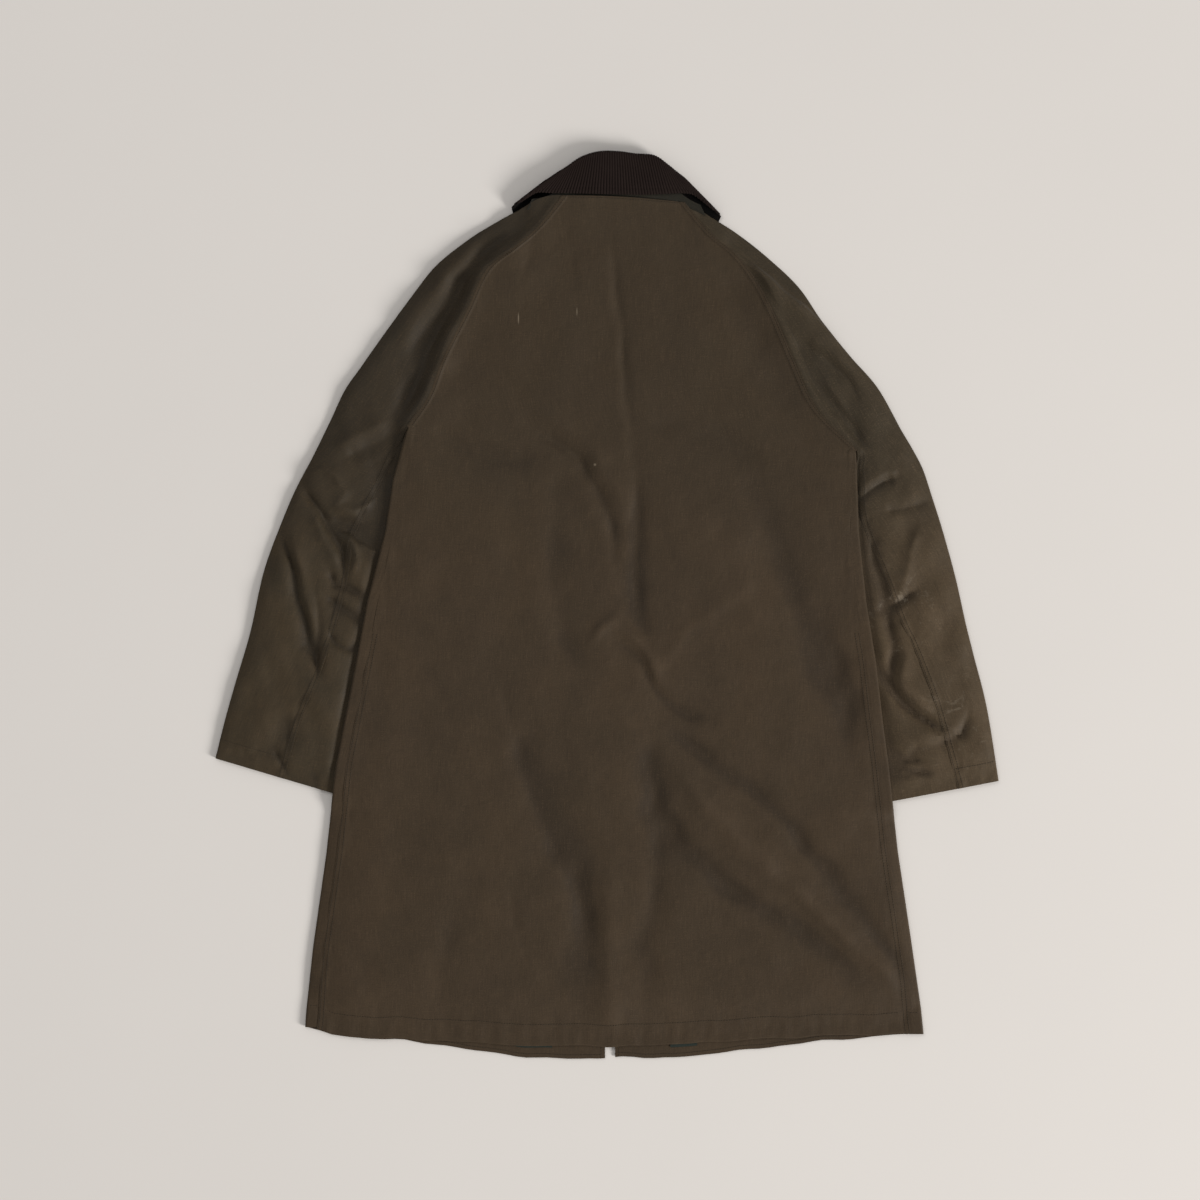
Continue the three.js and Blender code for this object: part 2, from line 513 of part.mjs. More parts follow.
// A front lies on the surface from its free edge, wraps up round the side fold and ends on top, at
// the side seam. Above the armpit it ends at the front raglan seam.
function front(side) {
  const table = sleeveSections[side];
  const out = [sign[side], 0];
  const edgeX = centreFront + sign[side] * frontGap / 2;
  const armpit = [sideFold(side, armpits[side]), armpits[side]];
  const sewn = [...table.slice(0, armpitRow).map((row) => row.front), armpit];
  const inward = -sign[side];
  const bottomY = sideEnd[side];
  const shoulderY = mix(neckDrop, bottomY, shoulderShare);
  const grid = bodyStations.map((station) => {
    const down = Math.max(station - armpitRow, 0);
    const open = station < armpitRow;
    const startY = down > 0 ? mix(shoulderY, bottomY, down)
      : mix(neckDrop, shoulderY, station / armpitRow);
    const atArmpit = station === armpitRow;
    let end;
    if (open) {
      const [x, y] = between(sewn, station);
      end = [x + inward * seamGap / 2, y];
    } else {
      const y = mix(armpits[side], bottomY, down);
      end = [sideFold(side, y) + inward * (atArmpit ? 1.1 : foldReach), y];
    }
    const run = Math.abs(end[0] - edgeX);
    const even = [0, 1, 2, 3].map((k) => (run - frontMargins[0]) * k / 4);
    const lines = [...frontMargins, foldRun].map((margin) => run - margin);
    const places = [...even, ...lines].map((place) => Math.max(place, 0));
    if (open) for (let k = 1; k <= tailSteps; k += 1) places.push(run - foldRun + foldRun * k / tailSteps);
    else places.push(run);
    const hemSag = (x, u) => hem('front', x) - mix(hem('front', edgeX), bottomY, u)
      + mix(hem('front', edgeX) - bottomY, 0, u);
    const bottom = places.map((place) => {
      const u = place / run;
      const x = edgeX + sign[side] * place;
      const y = mix(startY, end[1], u) + hemSag(x, u) * down * down;
      const neckDip = -10 * Math.sin(Math.PI * u) * clamp(1 - station, 0, 1);
      return [x, y + neckDip, underHeight(x, y)];
    });
    if (open) return bottom;
    const turn = bottom[bottom.length - 1];
    const topAt = (x, y) => Math.max(backHeight(x, y), turn[2] + layerStep);
    const high = atArmpit ? layHeight - 0.6 : topAt(turn[0], turn[1]);
    const bend = atArmpit ? 0.2 : foldReach;
    const rise = foldPoints(turn, out, turn[2], high, foldSteps, bend).slice(1);
    const reach = mix(0.8, seamReturn - foldReach, rampUp(0, 0.09, down));
    const back = [];
    const backSteps = tailSteps - foldSteps - 1;
    for (let k = 1; k <= backSteps; k += 1) {
      const place = reach * k / backSteps;
      const x = turn[0] + inward * (atArmpit ? 0 : place - 2 * seamGap);
      back.push([x, turn[1], atArmpit ? high + 0.3 * k : topAt(x, turn[1])]);
    }
    return [...bottom, ...rise, ...back];
  });
  const hemRow = bodyStations.length - 2;
  // The turned-up hem thickens the inside of the front, so the underside stays flat.
  const upper = (i, j) => cloth / 2 + (i >= hemRow && j < 8 ? frontHemRise : 0);
  const lower = () => cloth / 2;
  return side === 'left' ? wall(grid, upper, lower) : wall(grid, lower, upper);
}

// The corduroy leaf: a roll at the fold line, then the leaf to its free edge, with a rib raised in
// every other column of the outer points. At both ends it turns down and under the fronts.
function topCollar() {
  const read = (key, station) => between(collarSections.map((row) => row[key]), station);
  const ribbed = { from: 4, to: 16 };
  const middle = (station) => mixPoint(read('fold', station), read('edge', station), 0.5);
  const fine = 400;
  const lengths = [0];
  const stationAt = (k) => mix(ribbed.from, ribbed.to, k / fine);
  for (let k = 1; k <= fine; k += 1) {
    lengths.push(lengths[k - 1] + distance(middle(stationAt(k - 1)), middle(stationAt(k))));
  }
  const count = Math.round(lengths[fine] / walePitch) * 2;
  const stations = [0, 0.5, 1, 1.5, 2, 2.5, 3, 3.4, 3.7];
  for (let k = 0; k <= count; k += 1) {
    const step = lengths.findIndex((length) => length >= lengths[fine] * k / count - 1e-9);
    stations.push(stationAt(step));
  }
  stations.push(16.3, 16.6, 17, 17.5, 18, 18.5, 19, 19.5, 20);
  const flat = collarSections[0].height;
  const grid = stations.map((station) => {
    const [fold, edge] = [read('fold', station), read('edge', station)];
    const [height, roll] = [Math.max(read('height', station), flat), read('roll', station)];
    const up = clamp((height - flat) / 8, 0, 1);
    const away = unit(edge, fold);
    const turn = [fold[0] - away[0] * roll, fold[1] - away[1] * roll];
    const angle = mix(Math.PI / 2, -Math.PI / 2, up);
    const hand = station < 10 ? 1 : -1;
    const across = [away[1] * hand * Math.cos(angle), -away[0] * hand * Math.cos(angle), Math.sin(angle)];
    const rolled = (share, beyond) => [
      turn[0] + away[0] * beyond + across[0] * 2 * roll * share,
      turn[1] + away[1] * beyond + across[1] * 2 * roll * share,
      height + across[2] * 2 * roll * share,
    ];
    const leaf = [0, 0.5, 1].map((share) => {
      const [x, y] = mixPoint(turn, edge, share);
      return [x, y, height + 0.6 * up * Math.sin(Math.PI * share)];
    });
    return [rolled(1, -2.5), rolled(1, 0), rolled(0.5, roll), ...leaf];
  });
  const rib = (i) => (i % 2 ? waleRise * clamp(read('ribs', stations[i]), 0, 1) : 0);
  return wall(grid, (i, j) => corduroy / 2 + (j > 1 ? rib(i) : 0), () => corduroy / 2);
}

// The under collar goes from the neck edge up to the roll, under the leaf. Its ends dip.
function underCollar() {
  const read = (key, station) => between(standSections.map((row) => row[key]), station);
  const grid = [];
  for (let station = 0; station <= 8; station += 0.4) {
    const row = [];
    for (const share of [0, 0.2, 0.45, 0.7, 1]) {
      const [x, y] = mixPoint(read('neck', station), read('top', station), share);
      row.push([x, y, layHeight - 0.3 - read('dip', station) * Math.sin(Math.PI * share * 0.6)]);
    }
    grid.push(row);
  }
  return wall(grid, () => cloth / 2, () => cloth / 2);
}

// The lining shows only just above the hem of each front, so only that strip of it is made.
function lining(from, to) {
  const grid = [];
  for (let k = 0; k <= 6; k += 1) {
    const x = mix(from, to, k / 6);
    const low = hem('front', x) + frontHemDepth + 2;
    grid.push([0, 1, 2, 3].map((step) => {
      const y = low + step * 9;
      return [x, y, underHeight(x, y) + cloth / 2 + seamGap + liningWall / 2];
    }));
  }
  return wall(grid, () => liningWall / 2, () => liningWall / 2);
}

// Materials
const waxedCotton = (color) => new THREE.MeshStandardMaterial({ color, roughness: 0.62, metalness: 0 });
const backCloth = waxedCotton(0x42392d);
const leftCloth = waxedCotton(0x3e3729);
const rightCloth = waxedCotton(0x4e4335);
const cord = new THREE.MeshStandardMaterial({ color: 0x2a201d, roughness: 0.95, metalness: 0 });
const liningCloth = new THREE.MeshStandardMaterial({ color: 0x1b211a, roughness: 0.85, metalness: 0 });

const group = new THREE.Group();
const add = (name, geometry, material) => {
  const mesh = new THREE.Mesh(geometry, material);
  mesh.name = name;
  group.add(mesh);
};
add('back_panel', backPanel(), backCloth);
add('left_front', front('left'), backCloth);
add('right_front', front('right'), backCloth);
add('left_sleeve', sleeve('left'), leftCloth);
add('right_sleeve', sleeve('right'), rightCloth);
add('top_collar', topCollar(), cord);
add('under_collar', underCollar(), backCloth);
add('left_lining', lining(-112, -66), liningCloth);
add('right_lining', lining(76, 108), liningCloth);

export default group;
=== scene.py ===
# Long waxed cotton coat with a corduroy collar, laid flat with its back up.
# Tables are in millimetres, meshes in metres. Left and right are as seen from above.
import math
import random

import bpy
import numpy as np
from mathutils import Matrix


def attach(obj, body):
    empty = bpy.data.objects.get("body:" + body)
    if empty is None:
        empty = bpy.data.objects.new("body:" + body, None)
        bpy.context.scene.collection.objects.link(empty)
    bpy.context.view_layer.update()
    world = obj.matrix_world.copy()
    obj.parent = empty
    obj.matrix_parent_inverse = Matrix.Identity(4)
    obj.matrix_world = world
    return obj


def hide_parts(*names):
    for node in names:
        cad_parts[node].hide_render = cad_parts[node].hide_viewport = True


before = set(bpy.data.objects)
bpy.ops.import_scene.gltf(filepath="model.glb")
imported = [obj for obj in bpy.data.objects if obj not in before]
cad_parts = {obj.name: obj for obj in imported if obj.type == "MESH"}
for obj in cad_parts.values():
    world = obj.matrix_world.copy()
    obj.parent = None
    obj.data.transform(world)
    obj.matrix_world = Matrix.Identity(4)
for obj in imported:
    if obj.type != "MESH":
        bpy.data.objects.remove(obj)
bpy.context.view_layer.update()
mm = 0.001

garment = {
    "cloth": 1.3,           # wall of the waxed cotton
    "layHeight": 10.0,      # middle of the top layer
    "pressedHeight": 3.6,   # middle of the top layer at hems and folds
    "layerStep": 2.3,       # between the middles of two layers that touch
    "floorMid": 0.8,        # middle of the layer on the floor
    "foldReach": 1.7,       # how far a fold stands out past its two layers
    "foldSteps": 6,         # rows of faces round a fold
    "closedReach": 0.2,     # reach of the fold where it ends at the armpit
    "closedDrop": 0.6,      # and how far below the top layer it ends
    "seamGap": 0.5,
    "seamReturn": 14.0,     # side fold to side seam
    "seamReturnTop": 2.5,   # the same at the armpit
    "sideSeamFrom": -30.0,  # above this y the side seam has rolled under the edge
    "fellWidth": 7.0,       # doubled cloth beside a seam
    "lap": 1.2,             # how far one edge covers the other at a seam
    "lapRise": 0.34,        # step at a doubled edge
    "centreFront": 3.6,     # x where the fronts meet
    "hemWave": 0.7,
    "sleeveLift": 5.4,      # of the body over the sleeve below it
    "collarLift": 3.0,      # of the cloth over the front halves of the collar
}
armpits = {"left": 215.0, "right": 186.0}
sideEnd = {"left": -505.0, "right": -514.0}
sign = {"left": -1.0, "right": 1.0}
panelOf = {"left": "L", "right": "R"}
armpitRow = 7

# y, left side fold, right side fold
bodySections = np.array([
    (-514, -362, 379), (-484, -360, 376), (-408, -352, 365), (-294, -336, 348), (-193, -325, 337),
    (-132, -313, 329), (-71, -301, 322), (4, -287, 310), (89, -265, 301), (150, -256, 299),
    (186, -246, 298), (215, -238, 297)], float)

# x, back hem, front hem
hems = np.array([
    (-362, -505, -505), (-330, -516, -516), (-241, -521, -522), (-166, -524, -533), (-102, -528, -542),
    (-40, -529, -544), (4, -529, -543), (80, -527, -543), (168, -521, -533), (244, -517, -525),
    (316, -516, -517), (379, -513, -514)], float)

# seam on top (x, y), fold along the arm (x, y), front raglan seam (x, y) or None, and how far
# the inner fold lies under the body
sleeveRows = {
    "left": [
        (-53, 490, -107, 472, (-75, 430), 0), (-84, 452, -140, 454, (-95, 410), 0),
        (-114, 426, -168, 436, (-118, 385), 0), (-146, 400, -205, 406, (-142, 358), 0),
        (-169, 352, -235, 368, (-165, 325), 0), (-198, 294, -270, 320, (-190, 285), 0),
        (-215, 250, -296, 283, (-214, 250), 0), (-238, 215, -314, 257, None, 1),
        (-251, 190, -331, 221, None, 5), (-270, 150, -353, 176, None, 10),
        (-288, 115, -372, 140, None, 18), (-304, 79, -390, 98, None, 22),
        (-312, 28, -411, 40, None, 22), (-329, -36, -427, -32, None, 20),
        (-347, -88, -444, -90, None, 17), (-368, -139, -457, -136, None, 14),
        (-388, -208, -469, -184, None, 12)],
    "right": [
        (92, 482, 131, 460, (105, 425), 0), (124, 444, 158, 443, (125, 402), 0),
        (154, 419, 191, 417, (148, 378), 0), (179, 387, 229, 381, (172, 350), 0),
        (200, 347, 258, 339, (196, 318), 0), (222, 295, 291, 298, (224, 275), 0),
        (251, 234, 324, 260, (258, 228), 0), (299, 186, 352, 210, None, 1),
        (303, 160, 365, 188, None, 5), (304, 135, 378, 163, None, 8),
        (305, 110, 389, 130, None, 18), (314, 80, 401, 92, None, 22),
        (334, 32, 417, 34, None, 22), (353, -19, 430, -24, None, 20),
        (368, -50, 439, -60, None, 17), (395, -122, 455, -124, None, 14),
        (422, -220, 469, -211, None, 12)],
}

# the folded edge that runs over the right shoulder
overarmEdge = [
    (97, 464), (124, 444), (144, 428), (175, 406), (208, 378), (235, 358), (256, 338), (271, 322),
    (282, 306)]

# Folds: panels they lie on (B back, L and R sleeves), rise, width on the left of the path's run,
# width on its right, path. Rise is up in mm, negative in a trough.
folds = [
    # the back, from the neck down
    ("B", -1.9, 9, 9, [(6, 438), (14, 361), (22, 281), (30, 189)]),
    ("B", 0.8, 6, 12, [(-1, 423), (5, 349), (14, 275), (19, 189)]),
    ("B", -3.2, 12, 12, [(33, 177), (38, 103), (33, 29), (43, -45)]),
    ("B", -4.0, 11, 6, [(-97, 219), (-64, 196), (-35, 172), (-13, 142), (1, 103), (8, 54)]),
    ("B", 1.6, 14, 14, [(-82, 238), (-39, 208), (-6, 171), (16, 121)]),
    ("B", -1.8, 30, 12, [(-63, 177), (-58, 134), (-66, 78), (-63, 17), (-50, -45), (-31, -94)]),
    ("B", 3.2, 8, 8, [(-21, -45), (-6, -28), (9, -21), (29, -37), (53, -66), (63, -92)]),
    ("B", 1.2, 12, 8, [(61, -89), (72, -64), (96, -32), (133, -2), (164, 17)]),
    ("B", -3.0, 7, 7, [(14, -45), (38, -69), (53, -99), (73, -119), (97, -131), (127, -133)]),
    ("B", -3.0, 14, 10, [
        (61, -143), (102, -174), (164, -217), (225, -272), (281, -340), (330, -408), (361, -457)]),
    ("B", 2.6, 12, 14, [(68, -180), (127, -248), (189, -309), (250, -362), (305, -414), (358, -468)]),
    ("B", -3.0, 16, 16, [
        (48, -180), (61, -242), (96, -297), (152, -343), (213, -380), (275, -420), (334, -466)]),
    ("B", -2.6, 30, 22, [(152, 177), (191, 115), (216, 35), (246, -45), (278, -110), (286, -170)]),
    ("B", -2.0, 20, 20, [(41, 216), (90, 216), (145, 199), (201, 164)]),
    ("B", 2.0, 36, 36, [(65, 140), (115, 91), (164, 29), (201, -45)]),
    ("B", -3.2, 26, 26, [(127, 411), (164, 349), (195, 275), (238, 214)]),
    ("B", -2.3, 22, 8, [
        (-134, -82), (-112, -138), (-99, -205), (-77, -260), (-55, -309), (-33, -355), (-21, -426)]),
    ("B", -1.7, 26, 26, [(-58, -217), (-35, -316), (-23, -402), (-16, -488)]),
    ("B", 2.6, 16, 16, [(6, -303), (-1, -377), (1, -451), (4, -525)]),
    ("B", -2.2, 16, 16, [(53, -143), (58, -242), (63, -316), (43, -414), (48, -500)]),
    ("B", -0.9, 5, 5, [(-115, -343), (-108, -377), (-97, -416)]),
    ("B", -3.0, 26, 30, [(-138, 374), (-166, 312), (-193, 251)]),
    ("B", -2.6, 14, 14, [(-215, 216), (-171, 189), (-119, 174), (-82, 177)]),
    ("B", -1.6, 12, 10, [(262, -42), (276, -70), (284, -110), (286, -150), (296, -192)]),
    ("B", -0.9, 12, 12, [(-304, -402), (-285, -451), (-267, -494)]),
    ("B", -0.8, 12, 12, [(-181, -365), (-193, -426), (-208, -488)]),
    ("B", -1.2, 7, 7, [(-87, 450), (-92, 423), (-97, 392)]),
    ("B", -1.0, 7, 7, [(-55, 457), (-43, 423), (-40, 386)]),
    # both sides of the left raglan seam
    ("BL", 4.2, 44, 10, [
        (-53, 486), (-84, 452), (-114, 426), (-146, 400), (-169, 352), (-198, 294), (-215, 250),
        (-238, 215)]),
    # the left sleeve
    ("L", -6.5, 17, 24, [
        (-119, 434), (-144, 410), (-179, 362), (-209, 308), (-224, 246), (-260, 150), (-284, 66)]),
    ("L", 3.0, 16, 16, [(-137, 458), (-188, 402), (-222, 354), (-244, 318)]),
    ("L", -2.4, 10, 12, [(-314, 176), (-287, 190), (-242, 203)]),
    ("L", 1.6, 9, 9, [(-330, 188), (-300, 204), (-262, 222)]),
    ("L", 1.5, 5, 6, [
        (-358, 155), (-341, 161), (-324, 155), (-314, 138), (-324, 121), (-307, 114), (-287, 121),
        (-274, 131)]),
    ("L", -4.2, 6, 6, [(-365, 143), (-355, 127), (-341, 110), (-329, 87), (-321, 56), (-316, 36)]),
    ("L", 2.0, 7, 7, [(-352, 112), (-340, 92), (-332, 64), (-326, 42)]),
    ("L", -4.2, 6, 6, [(-392, 87), (-380, 56), (-372, 23), (-368, -8), (-358, -48), (-348, -76)]),
    ("L", 2.2, 8, 8, [(-376, 80), (-364, 40), (-358, -4), (-346, -48)]),
    ("L", -5.0, 10, 5, [(-330, 100), (-307, 97), (-287, 90), (-268, 86)]),
    ("L", -3.6, 6, 6, [(-324, 95), (-300, 80), (-270, 70)]),
    ("L", 2.2, 5, 6, [(-318, 92), (-306, 74), (-300, 52), (-304, 34)]),
    ("L", 1.8, 5, 5, [(-298, 76), (-284, 66), (-270, 62)]),
    ("L", -3.6, 6, 6, [(-334, 43), (-328, 26), (-310, 23), (-287, 12)]),
    ("L", -3.4, 7, 5, [(-331, -30), (-326, -48), (-312, -56), (-296, -50)]),
    ("L", -2.4, 9, 9, [(-284, 176), (-270, 150), (-262, 128)]),
    ("L", -3.0, 6, 6, [(-340, 12), (-322, 0), (-304, -12), (-292, -20)]),
    ("L", -2.0, 7, 7, [(-352, 20), (-344, -30), (-350, -80)]),
    ("L", -2.4, 5, 5, [(-400, -170), (-388, -188), (-380, -206)]),
    ("L", -2.2, 4, 4, [(-352, -196), (-348, -212), (-346, -226)]),
    # the right sleeve
    ("R", 3.6, 5, 10, overarmEdge),
    ("R", -2.8, 7, 9, [(221, 302), (238, 305), (258, 296), (289, 269), (302, 242)]),
    ("R", 1.8, 9, 9, [(236, 318), (262, 312), (294, 284), (312, 254)]),
    ("R", -4.4, 15, 4, [(216, 330), (232, 296), (248, 264), (270, 236), (288, 216)]),
    ("R", 1.8, 6, 6, [(262, 262), (276, 246), (286, 232)]),
    ("R", -4.0, 9, 9, [(286, 222), (296, 204), (304, 180)]),
    ("R", -3.2, 6, 6, [(296, 126), (312, 133), (332, 148), (344, 152)]),
    ("R", 1.1, 8, 8, [(304, 140), (326, 154), (350, 164)]),
    ("R", -2.0, 8, 8, [(332, 112), (358, 116), (388, 127)]),
    ("R", -4.6, 9, 6, [(304, 114), (316, 73), (328, 25), (338, -16), (343, -59), (343, -96)]),
    ("R", -3.2, 6, 6, [(325, -6), (347, 0), (370, 16)]),
    ("R", 2.2, 8, 8, [(352, 22), (364, 60), (374, 88)]),
    ("R", 2.0, 8, 8, [(344, -20), (356, -60), (352, -92)]),
    ("R", -6.4, 7, 4, [(326, -76), (338, -100), (352, -116), (372, -134), (394, -150)]),
    ("R", 3.0, 8, 6, [(346, -92), (366, -108), (394, -132)]),
    ("R", -3.0, 5, 5, [(358, -186), (373, -170), (386, -168), (403, -164), (424, -157), (431, -133)]),
    ("R", 1.4, 6, 6, [(366, -164), (386, -160), (404, -155), (420, -148)]),
    ("R", -3.2, 4, 4, [(336, -186), (350, -194), (370, -200), (388, -200)]),
    ("R", -2.8, 4, 4, [(340, -176), (358, -184), (380, -186)]),
    ("R", -2.4, 4, 4, [(338, -198), (352, -206), (368, -210)]),
]


def mix(a, b, t):
    return a + (b - a) * t


def rampUp(start, end, x):
    t = np.clip((x - start) / (end - start), 0, 1)
    return t * t * (3 - 2 * t)


def curveAt(rows, place):
    # a value read off a table between its rows, on a smooth curve
    rows = np.asarray(rows, float)
    place = np.asarray(place, float)
    last = len(rows) - 1
    i = np.clip(np.floor(place).astype(int), 0, last - 1)
    t = (place - i)[..., None] if rows.ndim > 1 else place - i
    a, b = rows[np.maximum(i - 1, 0)], rows[i]
    c, d = rows[i + 1], rows[np.minimum(i + 2, last)]
    square, cube = 2 * a - 5 * b + 4 * c - d, 3 * b - a - 3 * c + d
    return 0.5 * (2 * b + (c - a) * t + square * t ** 2 + cube * t ** 3)


def sideFold(side, y):
    return np.interp(y, bodySections[:, 0], bodySections[:, 1 if side == "left" else 2])


def hemLine(layer, x):
    line = np.interp(x, hems[:, 0], hems[:, 1 if layer == "back" else 2])
    wave = makeRipple(31 if layer == "back" else 32, 58)
    return line + garment["hemWave"] * wave(x, 0 * x)


def nearest(path, x, y):
    # distance to a path, the share of it passed, and the side that the point is on
    away = np.full(np.shape(x), 1e9)
    along = np.zeros(np.shape(x))
    hand = np.zeros(np.shape(x))
    for i, (a, b) in enumerate(zip(path[:-1], path[1:])):
        dx, dy = b[0] - a[0], b[1] - a[1]
        t = np.clip(((x - a[0]) * dx + (y - a[1]) * dy) / (dx * dx + dy * dy), 0, 1)
        gap = np.hypot(x - a[0] - t * dx, y - a[1] - t * dy)
        closer = gap < away
        away = np.where(closer, gap, away)
        along = np.where(closer, (i + t) / (len(path) - 1), along)
        hand = np.where(closer, np.sign(dx * (y - a[1]) - dy * (x - a[0])), hand)
    return away, along, hand


def makeRipple(seed, size, waves=14):
    # a gentle uneven surface: many sine waves of about one size, in all directions
    rng = np.random.default_rng(seed)
    turn = rng.uniform(0, math.tau, waves)
    length = size * rng.uniform(0.6, 1.7, waves)
    phase = rng.uniform(0, math.tau, waves)

    def ripple(x, y):
        total = np.zeros(np.shape(x))
        for k in range(waves):
            total += np.sin(math.tau * (x * math.cos(turn[k]) + y * math.sin(turn[k])) / length[k] + phase[k])
        return total / math.sqrt(waves / 2)
    return ripple


bendX, bendY = makeRipple(1, 70), makeRipple(2, 70)
slack, crumple, fine = makeRipple(3, 130), makeRipple(4, 42), makeRipple(5, 16)
strength = makeRipple(6, 60)


creases = {
    "depth": 1.15,         # 1 leaves the folds at their own rises
    "sway": 1.4,           # how far a fold's line wanders
    "slack": 0.45,
    "crumple": {"B": 0.16, "L": 0.42, "R": 0.42},
    "fine": 0.05,
    "uneven": 0.15,
    "endShare": 0.35,      # of a fold's rise, left at its ends
    "endLength": 0.2,      # share of its length over which it fades
    "narrowBelow": 10,     # width under which a fold is crisp
    "crisp": 1.3,          # powers of the fall-off beside a fold
    "soft": 1.7,
}


def foldRelief(panel, x, y):
    sway, ends = creases["sway"], creases["endLength"]
    wx, wy = x + sway * bendX(x, y), y + sway * bendY(x, y)
    height = creases["slack"] * slack(x, y) + creases["crumple"][panel] * crumple(x, y)
    height = height + creases["fine"] * fine(x, y)
    for panels, rise, widthLeft, widthRight, path in folds:
        if panel not in panels:
            continue
        away, along, hand = nearest(path, wx, wy)
        width = np.where(hand > 0, widthLeft, widthRight)
        fade = mix(creases["endShare"], 1, rampUp(0, ends, along) * rampUp(1, 1 - ends, along))
        lift = creases["depth"] * rise * fade * (1 + creases["uneven"] * strength(x, y))
        isNarrow = min(widthLeft, widthRight) < creases["narrowBelow"]
        height = height + lift * np.exp(-(away / width) ** creases["crisp" if isNarrow else "soft"])
    return height


def innerFold(side, row):
    seam, outer = np.array(row[0:2], float), np.array(row[2:4], float)
    place = seam.copy()
    for _ in range(12):
        x = sideFold(side, place[1]) - sign[side] * row[5]
        place = mix(outer, seam, (x - outer[0]) / (seam[0] - outer[0]))
    return place


innerFolds = {side: np.array([innerFold(side, row) for row in sleeveRows[side][armpitRow:]]) for side in sign}


# where the body comes up over a sleeve: in from the sleeve's edge, below the armpit, above the cuff
overSleeve = {
    "inward": (22, 3),
    "belowArmpit": (3, 23),
    "aboveCuff": (22, 5),
}


def liftOverSleeve(x, y):
    lift = 0
    top, bottom = overSleeve["belowArmpit"]
    low, high = overSleeve["aboveCuff"]
    for side in sign:
        line = innerFolds[side][::-1]
        inside = (np.interp(y, line[:, 1], line[:, 0]) - x) * sign[side]
        cuff = line[0, 1]
        part = rampUp(*overSleeve["inward"], inside) * rampUp(armpits[side] - top, armpits[side] - bottom, y)
        onSide = (x - garment["centreFront"]) * sign[side] > 0
        lift = lift + part * rampUp(cuff - low, cuff - high, y) * onSide
    return garment["sleeveLift"] * lift


# fold line (x, y), free edge (x, y), height, roll, ribs
collarRows = np.array([
    (-4, 432, -50, 366, 1.1, 1.2, 0), (-30, 458, -82, 405, 1.1, 1.2, 0),
    (-56, 486, -106, 448, 1.1, 1.2, 0), (-70, 504, -113, 471, 1.6, 1.3, 0),
    (-73, 508, -113, 476.5, 5.4, 1.6, 0.5), (-68, 510, -105, 482.5, 9.6, 2.2, 1),
    (-58, 517, -86, 493.5, 10.2, 2.3, 1), (-47, 524, -68, 493.5, 10.4, 2.4, 1),
    (-31, 535, -44, 493, 10.6, 2.4, 1), (-10, 541.5, -14, 492, 10.8, 2.4, 1),
    (12, 541.8, 14, 491.5, 10.8, 2.4, 1), (34, 539, 42, 491, 10.6, 2.4, 1),
    (56, 537, 68, 492, 10.4, 2.4, 1), (71, 527, 90, 493, 10.2, 2.3, 1),
    (82, 518, 106, 490, 9.8, 2.3, 1), (92, 510, 128, 473, 9.2, 2.2, 1),
    (96, 506, 135.5, 466, 5.4, 1.6, 0.5), (92, 501, 134, 460, 1.6, 1.3, 0),
    (74, 482, 126, 436, 1.1, 1.2, 0), (44, 455, 100, 398, 1.1, 1.2, 0),
    (12, 432, 62, 366, 1.1, 1.2, 0)], float)


def liftOverCollar(x, y):
    lift = np.zeros(np.shape(x))
    for side, rows in (("left", collarRows[:4]), ("right", collarRows[-4:])):
        outline = np.vstack([rows[:, 0:2], rows[::-1, 2:4]])
        inside = np.zeros(np.shape(x), bool)
        for a, b in zip(outline, np.roll(outline, -1, axis=0)):
            crosses = (a[1] > y) != (b[1] > y)
            slope = (b[0] - a[0]) / (b[1] - a[1] if b[1] != a[1] else 1e-9)
            inside ^= crosses & (x < a[0] + slope * (y - a[1]))
        away = nearest(np.vstack([outline, outline[:1]]), x, y)[0]
        near = (x - garment["centreFront"]) * sign[side] > 0
        lift = np.maximum(lift, rampUp(30, 6, np.where(inside, 0, away)) * near)
    return garment["collarLift"] * lift


def underHeight(x, y):
    return garment["floorMid"] + np.maximum(liftOverSleeve(x, y), liftOverCollar(x, y))


back = {
    "edgeRoll": 26,         # how softly it comes down to its side edges
    "underArm": 35,         # length below the armpit over which that begins
    "hemPress": (60, 8),    # from full height to pressed, measured up from the hem
    "hemRise": 0.6,
    "hemRelief": 0.35,      # share of the folds left at the hem
    "hemClear": 0.9,        # extra height over the fronts at the hem
    "neckBow": 2.5,         # of the rows above the armpits
    "pucker": 0.3,
    "neckRoll": 0.5,
    "hemStep": 0.4,         # at the top of the turned hem
    "hemDepth": 26,
}


def backHeight(x, y):
    lay, low = garment["layHeight"], garment["pressedHeight"]
    height = lay + foldRelief("B", x, y)
    for side in sign:
        below = rampUp(armpits[side], armpits[side] - back["underArm"], y)
        away = np.maximum((sideFold(side, y) - x) * sign[side], 0)
        edge = low + liftOverSleeve(sideFold(side, y) + 0 * x, y)
        height = height + (edge - lay) * np.exp(-away / back["edgeRoll"]) * below
    pressed = rampUp(*back["hemPress"], y - hemLine("back", x))
    height = mix(height, low + back["hemRise"] + back["hemRelief"] * (height - lay), pressed)
    return np.maximum(height, underHeight(x, y) + garment["layerStep"] + back["hemClear"] * pressed)


